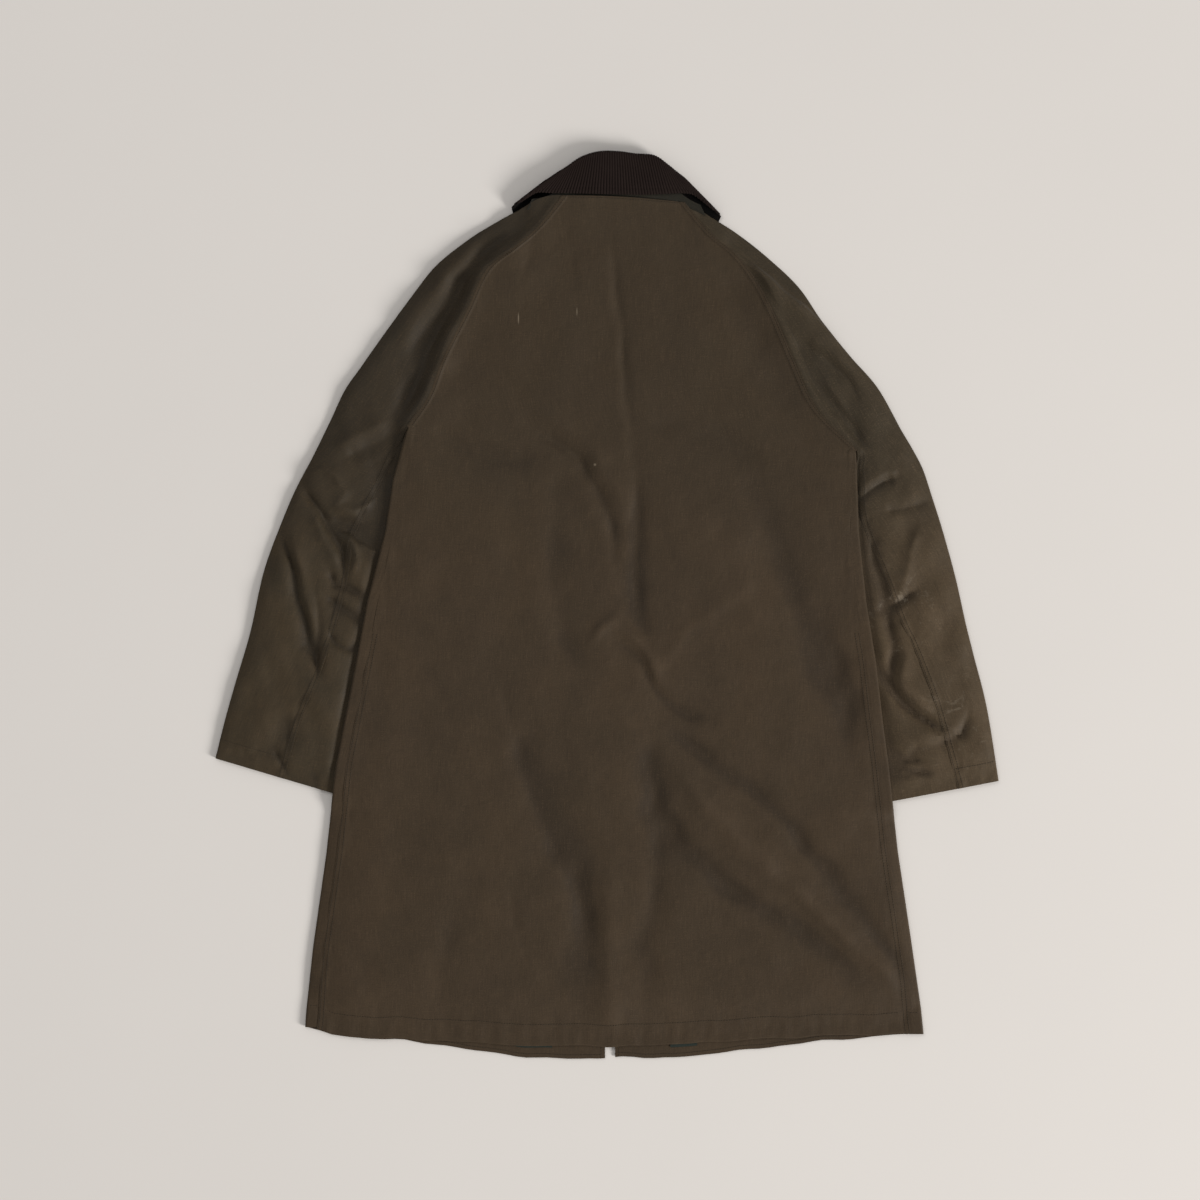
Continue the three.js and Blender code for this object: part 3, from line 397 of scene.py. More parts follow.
sleeve = {
    "paintedShadowBesideBody": {"left": (17, 2.6), "right": (20, 1.8)},  # reach and depth of the painted shadow beside the body
    "shoulderBulge": {"left": 6.0, "right": 2.0},
    "raglanBlend": {"left": (26, 3), "right": (12, 3)},     # where the back's folds run on over the seam
    "underArm": (2, 30),     # above and below the armpit, where the dip begins
    "dip": (3, 7),           # beside the body: flat part and fall-off
    "edgeRoll": 10,
    "relief": 1.55,          # of its folds against their own rises
    "flatUnder": 0.8,        # share of the relief lost beside the body
    "flatEdge": 0.5,         # and at the outer fold
    "cuffCrumple": 0.5,
    "cuffCrumpled": (34, 8),
    "cuffPress": (40, 4),
    "cuffPressed": 0.8,
    "hemStep": 0.4,
    "hemEdge": (26.5, 24),
    "overarmStep": 5.6,      # drop beyond the folded edge over the right shoulder
    "softFloor": 0.8,        # how softly the cloth comes down on the layer below
    "pucker": 0.4,
}


def overarmEnds(along):
    return rampUp(0, 0.06, along) * rampUp(1, 0.92, along)


def sleeveHeight(side, x, y, cuffAway):
    rows = sleeveRows[side]
    above, under = sleeve["underArm"]
    below = rampUp(armpits[side] + above, armpits[side] - under, y)
    flat, fall = sleeve["dip"]
    away = (x - sideFold(side, y)) * sign[side]
    dip = np.exp(-np.maximum(away - flat, 0) / fall) * below
    atFold = np.exp(-nearest([row[2:4] for row in rows], x, y)[0] / sleeve["edgeRoll"])
    raglanAway = nearest([row[0:2] for row in rows[:armpitRow + 1]], x, y)[0]
    atRaglan = rampUp(*sleeve["raglanBlend"][side], raglanAway)
    own = mix(foldRelief(panelOf[side], x, y), foldRelief("B", x, y), atRaglan)
    own = sleeve["relief"] * own * (1 - sleeve["flatUnder"] * dip) * (1 - sleeve["flatEdge"] * atFold)
    own = own + sleeve["cuffCrumple"] * fine(x, y) * rampUp(*sleeve["cuffCrumpled"], cuffAway)
    low = garment["pressedHeight"]
    height = mix(garment["layHeight"], low, np.maximum(dip, atFold)) + own
    height = mix(height, low, rampUp(*sleeve["cuffPress"], cuffAway) * sleeve["cuffPressed"])
    height = height + sleeve["hemStep"] * rampUp(*sleeve["hemEdge"], cuffAway)
    if side == "right":
        away, along, hand = nearest(overarmEdge, x, y)
        height = height - sleeve["overarmStep"] * rampUp(-2, 5, away * hand) * overarmEnds(along)
    least = garment["floorMid"] + liftOverCollar(x, y) + garment["layerStep"]
    soft = sleeve["softFloor"]
    return least + np.logaddexp(0, (height - least) / soft) * soft


# Cloth sheets

def clearSelection():
    bpy.ops.object.select_all(action="DESELECT")


def makeSheet(name, points, thick, offset=0.0, relief=None):
    # a grid moved to points[row, column] in mm, then given its thickness
    rows, columns = points.shape[:2]
    clearSelection()
    bpy.ops.mesh.primitive_grid_add(x_subdivisions=columns - 1, y_subdivisions=rows - 1, size=2)
    sheet = bpy.context.object
    sheet.name = sheet.data.name = name
    mesh = sheet.data
    co = np.empty(len(mesh.vertices) * 3)
    mesh.vertices.foreach_get("co", co)
    co = co.reshape(-1, 3)
    column = np.rint((co[:, 0] + 1) / 2 * (columns - 1)).astype(int)
    row = np.rint((1 - co[:, 1]) / 2 * (rows - 1)).astype(int)
    mesh.vertices.foreach_set("co", (points[row, column] * mm).ravel())
    if relief is not None:
        mark = mesh.attributes.new("relief", "FLOAT", "POINT")
        mark.data.foreach_set("value", relief[row, column].astype(np.float32))
    across = np.cumsum(np.linalg.norm(np.diff(points, axis=1, prepend=points[:, :1]), axis=2), axis=1)
    along = np.cumsum(np.linalg.norm(np.diff(points, axis=0, prepend=points[:1]), axis=2), axis=0)
    across = across - across[:, -1:] / 2
    corner = np.empty(len(mesh.loops), int)
    mesh.loops.foreach_get("vertex_index", corner)
    uv = np.stack([across[row, column][corner], along.mean(axis=1)[row][corner]], axis=1) * mm
    mesh.uv_layers[0].data.foreach_set("uv", uv.astype(np.float32).ravel())
    mesh.update()
    bpy.ops.object.mode_set(mode="EDIT")
    bpy.ops.mesh.select_all(action="SELECT")
    bpy.ops.mesh.normals_make_consistent(inside=False)
    bpy.ops.object.mode_set(mode="OBJECT")
    wall = sheet.modifiers.new("Wall", "SOLIDIFY")
    wall.thickness = thick * mm
    wall.offset = offset
    wall.use_even_offset = False
    wall.use_quality_normals = True
    bpy.ops.object.modifier_apply(modifier="Wall")
    bpy.ops.object.shade_smooth_by_angle(angle=math.radians(50))
    return sheet


def spread(*stretches):
    # places made of stretches: start, end, step
    places = []
    for start, end, step in stretches:
        count = max(1, round(abs(end - start) / step))
        places += [start + (end - start) * k / count for k in range(count)]
    return np.array(places + [stretches[-1][1]])


def seamReturn(down):
    # side fold to side seam, by the share of the way from the armpit to the hem
    return mix(garment["seamReturnTop"], garment["seamReturn"], rampUp(0, 0.3, down))


def backGrid():
    seams = {side: np.array([row[0:2] for row in sleeveRows[side][:armpitRow + 1]], float) for side in sign}
    stations = spread((0, 7, 0.1), (7, 7.1, 0.004), (7.1, 7.955, 0.0065), (7.955, 8, 0.0022))
    down = np.clip(stations - armpitRow, 0, 1)
    up = np.clip(1 - stations / armpitRow, 0, 1)
    edges = {}
    for side in sign:
        inward = -sign[side]
        above = curveAt(seams[side], np.minimum(stations, armpitRow))
        top = above - np.array([inward * garment["lap"], 0])
        y = mix(armpits[side], sideEnd[side], down)
        into = seamReturn(down) - garment["lap"]
        under = np.stack([sideFold(side, y) + inward * into, y], axis=1)
        edges[side] = np.where((stations <= armpitRow)[:, None], top, under)
    width = (edges["right"][:, 0] - edges["left"][:, 0])[:, None]
    margin = spread((0, 12, 1.5), (12, 28, 4))[None, :]
    margin = margin * np.minimum(1, width / 160)
    inner = 130
    middle = mix(margin[:, -1:], width - margin[:, -1:], np.linspace(0, 1, inner + 2)[None, 1:-1])
    across = np.hstack([margin, middle, (width - margin)[:, ::-1]])
    u = across / width
    x = edges["left"][:, :1] + across
    y = mix(edges["left"][:, 1:2], edges["right"][:, 1:2], u)
    y = y + back["neckBow"] * np.sin(math.pi * u) * up[:, None] ** 2
    hemLeft = hemLine("back", edges["left"][:, 0])[:, None]
    hemRight = hemLine("back", edges["right"][:, 0])[:, None]
    d = down[:, None]
    y = y + (hemLine("back", x) - mix(hemLeft, hemRight, u)) * d ** 2
    y = y + mix(hemLeft - edges["left"][:, 1:2], hemRight - edges["right"][:, 1:2], u) * rampUp(0.9, 1, d)
    z = backHeight(x, y)
    relief = foldRelief("B", x, y)
    seamAway = np.minimum(across, width - across)
    pucker = np.maximum(rampUp(24, 5, seamAway) * 0.5, rampUp(46, 16, y - hemLine("back", x)))
    z = z + back["pucker"] * pucker * fine(x, y * 0.45)
    lapShare = mix(2, 0.15, rampUp(0, 0.05, down)) + 0.35 * rampUp(0.25, 0.4, down)
    fell = rampUp(garment["fellWidth"] + 1.5, garment["fellWidth"], seamAway)
    z = z + garment["lapRise"] * lapShare[:, None] * fell
    z = z + back["neckRoll"] * rampUp(5, 3, y[:1] - y)
    hemAway = y - hemLine("back", x)
    hemTop = back["hemDepth"]
    z = z + back["hemStep"] * rampUp(hemTop + 1, hemTop - 1, hemAway) - 0.5 * rampUp(1.6, 0, hemAway)
    return np.stack([x, y, z], axis=2), relief


def foldPoints(foot, direction, low, high, steps, reach):
    angle = np.pi * np.arange(1, steps + 1) / steps
    out = reach * np.sin(angle)
    return np.stack([foot[0] + direction[0] * out, foot[1] + direction[1] * out,
                     mix(low, high, (1 - np.cos(angle)) / 2)], axis=1)


def closingReach(near):
    # of a fold that closes as it nears the armpit
    return mix(garment["foldReach"], garment["closedReach"], near)


def unit(a, b):
    return (b - a) / np.linalg.norm(b - a)


def sleeveGrid(side):
    rows = sleeveRows[side]
    last = len(rows) - 1
    seams = np.array([row[0:2] for row in rows], float)
    outers = np.array([row[2:4] for row in rows], float)
    inner = np.array([row[4] if row[4] else innerFold(side, row) for row in rows], float)
    stations = spread((0, 6.6, 0.12), (6.6, 7, 0.05), (7.0001, last - 0.5, 0.055), (last - 0.5, last, 0.03))
    cuffLine = [outers[last], seams[last], inner[last]]

    def height(x, y):
        return sleeveHeight(side, x, y, nearest(cuffLine, x, y)[0])

    turnSteps, tail, runEnd = garment["foldSteps"], 26, 6.0    # rows left for the seam, and its length
    grid = []
    for station in stations:
        seam, outer, end = (curveAt(table, station) for table in (seams, outers, inner))
        out = unit(seam, outer)
        isOpen = station < armpitRow
        start = seam - out * garment["lap"]
        width = np.linalg.norm(outer - start) - garment["foldReach"]
        places = np.concatenate([np.arange(0, 12, 1.5), np.linspace(12, width, 34)])
        xy = start + out * places[:, None]
        bulge = sleeve["shoulderBulge"][side] * float(rampUp(0.7, 0, station))
        xy[:, 1] += bulge * np.sin(math.pi * places / places[-1])
        top = np.column_stack([xy, height(xy[:, 0], xy[:, 1])])
        fell = rampUp(garment["fellWidth"] + 1.2, garment["fellWidth"] - 0.3, places)
        top[:, 2] += garment["lapRise"] * (-rampUp(5, 2, places) if isOpen else 1.3 * fell)
        if not isOpen:
            top[:, 2] += sleeve["pucker"] * rampUp(15, 6, places) * fine(xy[:, 0] * 0.6, xy[:, 1])
        foot = top[-1]
        low = garment["floorMid"] + liftOverCollar(foot[0], foot[1])
        turned = foldPoints(foot, out, foot[2], low, turnSteps, garment["foldReach"])
        inward = unit(foot[:2], end)
        run = np.linalg.norm(end - foot[:2]) - (garment["seamGap"] / 2 if isOpen else garment["foldReach"])
        places = (run - runEnd) * np.arange(1, 21) / 20
        if isOpen:
            places = np.concatenate([places, run - runEnd + runEnd * np.arange(1, tail + 1) / tail])
        else:
            places = np.append(places, run)
        xy = foot[:2] + inward * places[:, None]
        bottom = np.column_stack([xy, garment["floorMid"] + liftOverCollar(xy[:, 0], xy[:, 1])])
        parts = [top, turned, bottom]
        if not isOpen:
            turn = bottom[-1]
            near = float(rampUp(armpitRow + 0.2, armpitRow, station))
            high = mix(float(height(turn[0], turn[1])), garment["layHeight"] - garment["closedDrop"], near)
            rise = foldPoints(turn, inward, turn[2], high, turnSteps, closingReach(near))
            seamEnd = seam + out * garment["lap"]
            backSteps = tail - turnSteps - 1
            share = np.arange(1, backSteps + 1) / backSteps
            xy = turn[:2] + (seamEnd - turn[:2]) * share[:, None]
            z = mix(height(xy[:, 0], xy[:, 1]), high + 0.3 * share, near) - 0.5 * garment["lapRise"]
            parts += [rise, np.column_stack([xy, z])]
        grid.append(np.vstack(parts))
    points = np.array(grid)
    x, y = points[..., 0], points[..., 1]
    relief = foldRelief(panelOf[side], x, y)
    # painted shadow: the sleeve's relief is lowered beside the body, so the finish lays its deep colour there
    reach, shade = sleeve["paintedShadowBesideBody"][side]
    beside = rampUp(reach, 4, (x - sideFold(side, y)) * sign[side])
    lower = mix(1, 0.55, rampUp(40, -120, y))
    relief = relief - shade * lower * beside * rampUp(armpits[side] + 6, armpits[side] - 14, y)
    if side == "right":
        # painted highlight along the folded edge over the right shoulder, partly wear, and a darker band
        # painted beyond it, both through the relief mark
        away, along, hand = nearest(overarmEdge, x, y)
        wornAndHighlight, shaded = 4 * np.exp(-(away / 2.6) ** 2), 3 * rampUp(2, 8, away * hand)
        relief = relief + (wornAndHighlight - shaded) * overarmEnds(along)
    return points, relief


front = {
    "gap": 12.0,            # between the two front edges
    "neckDrop": 400.0,      # y of the front edges' top
    "shoulderShare": 0.36,  # of the front edge that faces the raglan seam
    "neckSag": 10,
    "margin": 44,           # finer columns along the side fold
    "hemStep": 0.5,
    "hemEdge": (17, 15.5),
}


def frontGrid(side):
    inward = -sign[side]
    edgeX = garment["centreFront"] + sign[side] * front["gap"] / 2
    rows = sleeveRows[side]
    sewn = [row[4] for row in rows[:armpitRow]] + [(sideFold(side, armpits[side]), armpits[side])]
    sewn = np.array(sewn, float)
    stations = spread(
        (0, 6.6, 0.25), (6.6, 7, 0.1), (7.0001, 7.1, 0.005), (7.1, 7.95, 0.009), (7.95, 8, 0.002))
    bottomY = sideEnd[side]
    turnSteps, tail, runEnd = garment["foldSteps"], 16, 6.0
    hemHere = hemLine("front", edgeX)
    grid = []
    for station in stations:
        down = max(station - armpitRow, 0)
        isOpen = station < armpitRow
        armY = mix(front["neckDrop"], bottomY, front["shoulderShare"])
        startY = mix(armY, bottomY, down) if down > 0 else mix(front["neckDrop"], armY, station / armpitRow)
        near = float(rampUp(0.004, 0, down))
        if isOpen:
            end = curveAt(sewn, station) + np.array([inward * garment["seamGap"] / 2, 0])
        else:
            y = mix(armpits[side], bottomY, down)
            end = np.array([sideFold(side, y) + inward * mix(garment["foldReach"], 1.1, near), y])
        run = abs(end[0] - edgeX)
        nearSide = max(run - front["margin"], 12)
        places = np.concatenate([np.linspace(0, 9, 7), np.linspace(9, nearSide, 26)[1:],
                                 np.linspace(nearSide, run - runEnd, 14)[1:]])
        extra = run - runEnd + runEnd * np.arange(1, tail + 1) / tail if isOpen else [run]
        places = np.concatenate([places, extra])
        u = places / run
        x = edgeX + sign[side] * places
        sag = hemLine("front", x) - mix(hemHere, bottomY, u) + mix(hemHere - bottomY, 0, u)
        y = mix(startY, end[1], u) + sag * down ** 2
        y = y - front["neckSag"] * np.sin(math.pi * u) * max(1 - station, 0)
        turnedHem = rampUp(*front["hemEdge"], y - hemLine("front", x))
        turnedHem = turnedHem * rampUp(0, 4, hemLine("back", x) - y + 12)
        bottom = np.column_stack([x, y, underHeight(x, y) + front["hemStep"] * turnedHem])
        if isOpen:
            grid.append(bottom)
            continue
        turn = bottom[-1]
        least = turn[2] + garment["layerStep"]
        high = max(float(backHeight(turn[0], turn[1])), least)
        high = mix(high, garment["layHeight"] - garment["closedDrop"], near)
        rise = foldPoints(turn, (sign[side], 0), turn[2], high, turnSteps, closingReach(near))
        reach = float(seamReturn(down) + garment["lap"] * rampUp(0, 0.3, down))
        backSteps = tail - turnSteps - 1
        place = reach * np.arange(1, backSteps + 1) / backSteps
        bx = turn[0] + inward * place * (1 - near)
        by = np.full_like(bx, turn[1])
        bz = mix(np.maximum(backHeight(bx, by), least), high + 0.3, near)
        seamStart, seamStop = garment["seamReturn"] - 5, garment["seamReturn"] - 1
        bz = bz - 0.8 * garment["lapRise"] * rampUp(seamStart, seamStop, place)
        grid.append(np.vstack([bottom, rise, np.column_stack([bx, by, bz])]))
    points = np.array(grid)
    return points, foldRelief("B", points[..., 0], points[..., 1])


print("cutting the back, fronts and sleeves")
backPoints, backRelief = backGrid()
backPanel = makeSheet("back_cloth", backPoints, garment["cloth"], relief=backRelief)
sleeves, sleevePoints, fronts, frontPointsOf = {}, {}, {}, {}
for side in sign:
    sleevePoints[side], relief = sleeveGrid(side)
    sleeves[side] = makeSheet(side + "_sleeve_cloth", sleevePoints[side], garment["cloth"], relief=relief)
    frontPointsOf[side], relief = frontGrid(side)
    fronts[side] = makeSheet(side + "_front_cloth", frontPointsOf[side], garment["cloth"], relief=relief)


# Collar: the corduroy leaf with its ribs, and the under collar below it
collar = {
    "cord": 2.0,           # wall of the corduroy
    "walePitch": 3.2,
    "waleRise": 2.1,
    "columnsPerWale": 7,
    "floor": 1.1,          # height of its front halves
    "rise": 2.4,           # of the leaf above its rows, so that it clears the back
    "crown": 0.9,          # how much the leaf arches between its fold and its edge
    "droop": 0.35,
}
standRows = np.array([
    (-96, 480, -90, 486, 1), (-74, 486.5, -71, 490, 0.4), (-52, 490, -51, 502, 0), (-20, 491, -22, 526, 0),
    (20, 490, 20, 529, 0), (60, 489, 56, 523, 0), (92, 483, 80, 500, 0), (106, 479, 98, 486, 0.4),
    (118, 473, 112, 479, 1)], float)


def collarGrid():
    # stations follow the length round the neck, so that the ribs are evenly spaced
    fineAt = np.linspace(0, 20, 2001)
    rows = curveAt(collarRows, fineAt)
    middle = (rows[:, 0:2] + rows[:, 2:4]) / 2
    length = np.concatenate([[0], np.cumsum(np.linalg.norm(np.diff(middle, axis=0), axis=1))])
    total = length[-1]
    step = collar["walePitch"] / collar["columnsPerWale"]
    ribbedFrom, ribbedTo = np.interp([3.6, 16.4], fineAt, length)
    places = spread((0, ribbedFrom, 5), (ribbedFrom, ribbedTo, step), (ribbedTo, total, 5))
    stations = np.interp(places, length, fineAt)
    rows = curveAt(collarRows, stations)
    fold, edge = rows[:, 0:2], rows[:, 2:4]
    height, roll, ribs = np.maximum(rows[:, 4], collar["floor"]), rows[:, 5], np.clip(rows[:, 6], 0, 1)
    up = np.clip((height - collar["floor"]) / 8, 0, 1)
    height = height + collar["rise"] * up
    away = (fold - edge) / np.linalg.norm(fold - edge, axis=1)[:, None]
    turn = fold - away * roll[:, None]
    angle = mix(math.pi / 2, -math.pi / 2, up)
    hand = np.where(stations < 10, 1, -1)
    level = hand * np.cos(angle)
    across = np.stack([away[:, 1] * level, -away[:, 0] * level, np.sin(angle)], axis=1)
    columns = []
    for beyond in (-3.0, -1.5):
        columns.append(np.column_stack([turn + away * beyond, height]) + across * (2 * roll)[:, None])
    for k in range(9):
        bend = math.pi * k / 8
        xy = turn + away * (roll * math.sin(bend))[:, None]
        share = (1 + math.cos(bend)) / 2
        columns.append(np.column_stack([xy, height]) + across * (2 * roll * share)[:, None])
    droop = makeRipple(21, 60)
    for share in np.linspace(0, 1, 27)[1:]:
        xy = mix(turn, edge, share)
        z = height + collar["crown"] * up * math.sin(math.pi * share)
        z = z + collar["droop"] * up * droop(xy[:, 0], xy[:, 1])
        z = z - 0.7 * up * max(share - 0.9, 0) * 10 - 0.5 * up * math.exp(-((share - 0.85) / 0.03) ** 2)
        columns.append(np.column_stack([xy, z]))
    points = np.stack(columns, axis=1)
    phase = places / collar["walePitch"] * math.tau
    wobble = 0.35 * np.sin(points[..., 1] * 0.09 + 1.3)
    wave = np.abs(np.cos((phase[:, None] + wobble) / 2)) ** 0.8
    rib = (wave - 0.5) * collar["waleRise"] * ribs[:, None]
    normal = np.cross(np.gradient(points, axis=1), np.gradient(points, axis=0))
    normal /= np.linalg.norm(normal, axis=2)[..., None] + 1e-9
    normal *= np.where(normal[len(normal) // 2, 30, 2] < 0, -1, 1)
    fade = np.ones(points.shape[1])
    fade[:3] = 0
    return points + normal * (rib * fade)[..., None], wave * ribs[:, None] * fade


def standGrid():
    stations = np.linspace(0, 8, 121)
    rows = curveAt(standRows, stations)
    columns = []
    for share in np.linspace(0, 1, 14):
        xy = mix(rows[:, 0:2] - np.array([0, 7.0]), rows[:, 2:4], share)
        dip = rows[:, 4] * math.sin(math.pi * share * 0.6) + 1.6 * (1 - share) ** 4
        columns.append(np.column_stack([xy, garment["layHeight"] - 0.1 - dip]))
    return np.stack(columns, axis=1)


lining = {
    "wall": 0.8,
    "strips": {"left": (-112, -66), "right": (76, 108)},  # x of their sides
    "aboveHem": 12.2,
    "depth": 25,
    "lift": 1.8,
}


def liningGrid(start, end):
    x = np.linspace(start, end, 24)[:, None] + np.zeros((1, 12))
    y = hemLine("front", x) + lining["aboveHem"] + np.linspace(0, lining["depth"], 12)[None, :]
    return np.stack([x, y, underHeight(x, y) + lining["lift"]], axis=2)


print("rolling the collar")
collarPoints, ribMark = collarGrid()
topCollar = makeSheet("corduroy_collar", collarPoints, collar["cord"], relief=ribMark)
standPoints = standGrid()
inShade = -4 * rampUp(48, 66, np.abs(standPoints[..., 0] - 4))    # painted shade at both ends, under the leaf
underCollar = makeSheet("under_collar_cloth", standPoints, garment["cloth"], relief=inShade)
linings = {side: makeSheet(side + "_lining_cloth", liningGrid(*strip), lining["wall"])
           for side, strip in lining["strips"].items()}


# Sewing: one stitch is modelled once and copied along each seam
sewing = {
    "pitch": 3.1,
    "length": 2.3,
    "thread": 0.34,         # half its thickness
    "drift": 0.12,
    "seamRows": (1.8, 6.4),     # in from the seam, on the back
    "sleeveRows": (1.6, 6.2),
    "hem": 26,
    "cuff": 24,
    "frontHem": 4.5,
    "neck": 2.5,
}


def evenPlaces(path, step):
    path = np.asarray(path, float)
    length = np.concatenate([[0], np.cumsum(np.linalg.norm(np.diff(path, axis=0), axis=1))])
    count = max(1, int(length[-1] / step))
    at = (np.arange(count) + 0.5) * length[-1] / count
    return np.stack([np.interp(at, length, path[:, k]) for k in range(path.shape[1])], axis=1)


def makeStitch():
    clearSelection()
    bpy.ops.mesh.primitive_cylinder_add(vertices=6, radius=sewing["thread"] * mm, depth=sewing["length"] * mm,
                                        rotation=(0, math.pi / 2, 0), end_fill_type="NGON")
    stitch = bpy.context.object
    bpy.ops.object.transform_apply(location=False, rotation=True, scale=False)
    bpy.ops.object.mode_set(mode="EDIT")
    bpy.ops.mesh.select_all(action="SELECT")
    bpy.ops.mesh.bevel(offset=sewing["thread"] * 0.45 * mm, segments=1, affect="EDGES")
    bpy.ops.object.mode_set(mode="OBJECT")
    return stitch


def sewLines(name, lines):
    # joined copies of the stitch along each line, dipping a little into the cloth
    stitch = makeStitch()
    shape = np.array([v.co[:] for v in stitch.data.vertices])
    faces = [tuple(p.vertices) for p in stitch.data.polygons]
    bpy.data.objects.remove(stitch)
    rng = random.Random(name)
    allPoints, allFaces = [], []
    for line in lines:
        places = evenPlaces(line, sewing["pitch"]) * mm
        places[:, 2] += (garment["cloth"] / 2 + 0.12) * mm
        for place, way in zip(places, np.gradient(places, axis=0)):
            way = way / (np.linalg.norm(way) + 1e-12)
            side = np.array([-way[1], way[0], 0]) / (math.hypot(way[0], way[1]) + 1e-12)
            top = np.cross(way, side)
            drift = side * rng.uniform(-sewing["drift"], sewing["drift"]) * mm
            centre = place + drift
            start = len(allPoints)
            allPoints += [tuple(centre + s[0] * way + s[1] * side + s[2] * top) for s in shape]
            allFaces += [tuple(start + i for i in face) for face in faces]
    mesh = bpy.data.meshes.new(name)
    mesh.from_pydata(allPoints, [], allFaces)
    thread = bpy.data.objects.new(name, mesh)
    bpy.context.collection.objects.link(thread)
    clearSelection()
    thread.select_set(True)
    bpy.context.view_layer.objects.active = thread
    bpy.ops.object.shade_smooth_by_angle(angle=math.radians(40))
    return thread


def gridLine(points, place, rows=slice(None)):
    # a line down a grid, place mm in from its first column, or from its last if negative
    line = []
    for row in points[rows]:
        run = row if place >= 0 else row[::-1]
        far = np.concatenate([[0], np.cumsum(np.linalg.norm(np.diff(run[:, :2], axis=0), axis=1))])
        line.append([np.interp(abs(place), far, run[:, k]) for k in range(3)])
    return line


print("sewing")
backLines = []
for side in sign:
    edgeY = backPoints[:, 0 if side == "left" else -1, 1]
    raglanEnd = int(np.argmax(edgeY < armpits[side]))
    seamStart = int(np.argmax(edgeY < garment["sideSeamFrom"]))
    for place in sewing["seamRows"]:
        for rows in (slice(0, raglanEnd), slice(seamStart, None)):
            backLines.append(gridLine(backPoints, -sign[side] * place, rows))
backLines.append(gridLine(backPoints.transpose(1, 0, 2), -sewing["hem"], slice(8, -8)))
threads = {"back": sewLines("back_stitches", backLines)}
for side in sign:
    top = sleevePoints[side][:, :42]
    armpit = int(np.argmin(np.abs(top[:, 0, 1] - armpits[side]))) + 3
    lines = [gridLine(top, place, slice(armpit, None)) for place in sewing["sleeveRows"]]
    lines.append(gridLine(top.transpose(1, 0, 2), -sewing["cuff"]))
    threads[side] = sewLines(side + "_sleeve_stitches", lines)
    hem = frontPointsOf[side][:, :46]
    inset = sewing["frontHem"]
    lines = [gridLine(hem.transpose(1, 0, 2), -inset, slice(3, None)), gridLine(hem, inset, slice(-22, None))]
    lines.append(gridLine(frontPointsOf[side][:, -9:].transpose(1, 0, 2), -sewing["hem"]))
    threads[side + "Front"] = sewLines(side + "_front_stitches", lines)
neckLine = gridLine(backPoints.transpose(1, 0, 2), sewing["neck"], slice(6, -6))
threads["neck"] = sewLines("neck_stitches", [neckLine])


# Materials

class Signal:
    # a socket whose sums are written as ordinary Python
    def __init__(self, tree, socket):
        self.tree, self.socket = tree, socket

    def calc(self, operation, first, second=None, clamp=False):
        node = self.tree.nodes.new("ShaderNodeMath")
        node.operation, node.use_clamp = operation, clamp
        for slot, value in enumerate((first, second)):
            if isinstance(value, Signal):
                self.tree.links.new(value.socket, node.inputs[slot])
            elif value is not None:
                node.inputs[slot].default_value = value
        return Signal(self.tree, node.outputs[0])

    def __add__(self, other):
        return self.calc("ADD", self, other)

    def __sub__(self, other):
        return self.calc("SUBTRACT", self, other)

    def __mul__(self, other):
        return self.calc("MULTIPLY", self, other)

    def __rsub__(self, other):
        return self.calc("SUBTRACT", other, self)

    __radd__, __rmul__ = __add__, __mul__

    def limited(self):
        return self.calc("ADD", self, 0.0, clamp=True)


class Finish:
    # one material and the ways of adding to it
    def __init__(self, name):
        self.material = bpy.data.materials.new(name)
        self.material.use_nodes = True
        self.tree = self.material.node_tree
        self.shader = self.tree.nodes["Principled BSDF"]

    def node(self, kind, settings=None, inputs=None):
        made = self.tree.nodes.new(kind)
        for key, value in (settings or {}).items():
            setattr(made, key, value)
        for key, value in (inputs or {}).items():
            self.put(made.inputs[key], value)
        return made

    def put(self, socket, value):
        if isinstance(value, Signal):
            self.tree.links.new(value.socket, socket)
        elif isinstance(value, bpy.types.NodeSocket):
            self.tree.links.new(value, socket)
        else:
            socket.default_value = value

    def signal(self, socket):
        return Signal(self.tree, socket)

    def place(self, kind="Object", scale=(1, 1, 1)):
        source = self.node("ShaderNodeTexCoord").outputs[kind]
        return self.node("ShaderNodeMapping", None, {"Vector": source, "Scale": scale}).outputs[0]

    def noise(self, vector, scale, detail=3.0, rough=0.55, distort=0.0):
        made = self.node("ShaderNodeTexNoise", None, {"Vector": vector, "Scale": scale, "Detail": detail,
                                                       "Roughness": rough, "Distortion": distort})
        return self.signal(made.outputs[0])

    def step(self, value, low, high, first=0.0, last=1.0):
        made = self.node("ShaderNodeMapRange", {"interpolation_type": "SMOOTHSTEP"},
                         {"Value": value, "From Min": low, "From Max": high, "To Min": first, "To Max": last})
        return self.signal(made.outputs[0])

    def near(self, vector, centre, reach):
        away = self.node("ShaderNodeVectorMath", {"operation": "DISTANCE"}, {0: vector, 1: centre})
        return self.step(away.outputs["Value"], reach, reach * 0.25)

    def blend(self, first, second, factor, kind="MIX"):
        made = self.node("ShaderNodeMix", {"data_type": "RGBA", "blend_type": kind})
        self.put(made.inputs[0], factor)
        self.put(made.inputs[6], first)
        self.put(made.inputs[7], second)
        return made.outputs[2]

    def attribute(self, name):
        made = self.node("ShaderNodeAttribute", {"attribute_name": name})
        return self.signal(made.outputs["Fac"])

    def bump(self, height, strength, depth, before=None):
        made = self.node("ShaderNodeBump", None, {"Height": height, "Strength": strength, "Distance": depth})
        if before is not None:
            self.put(made.inputs["Normal"], before)
        return made.outputs[0]

    def use(self, **sockets):
        names = {"color": "Base Color", "roughness": "Roughness", "normal": "Normal",
                 "specular": "Specular IOR Level", "sheen": "Sheen Weight",
                 "sheenRoughness": "Sheen Roughness", "sheenTint": "Sheen Tint"}
        for key, value in sockets.items():
            self.put(self.shader.inputs[names[key]], value)
        return self.material


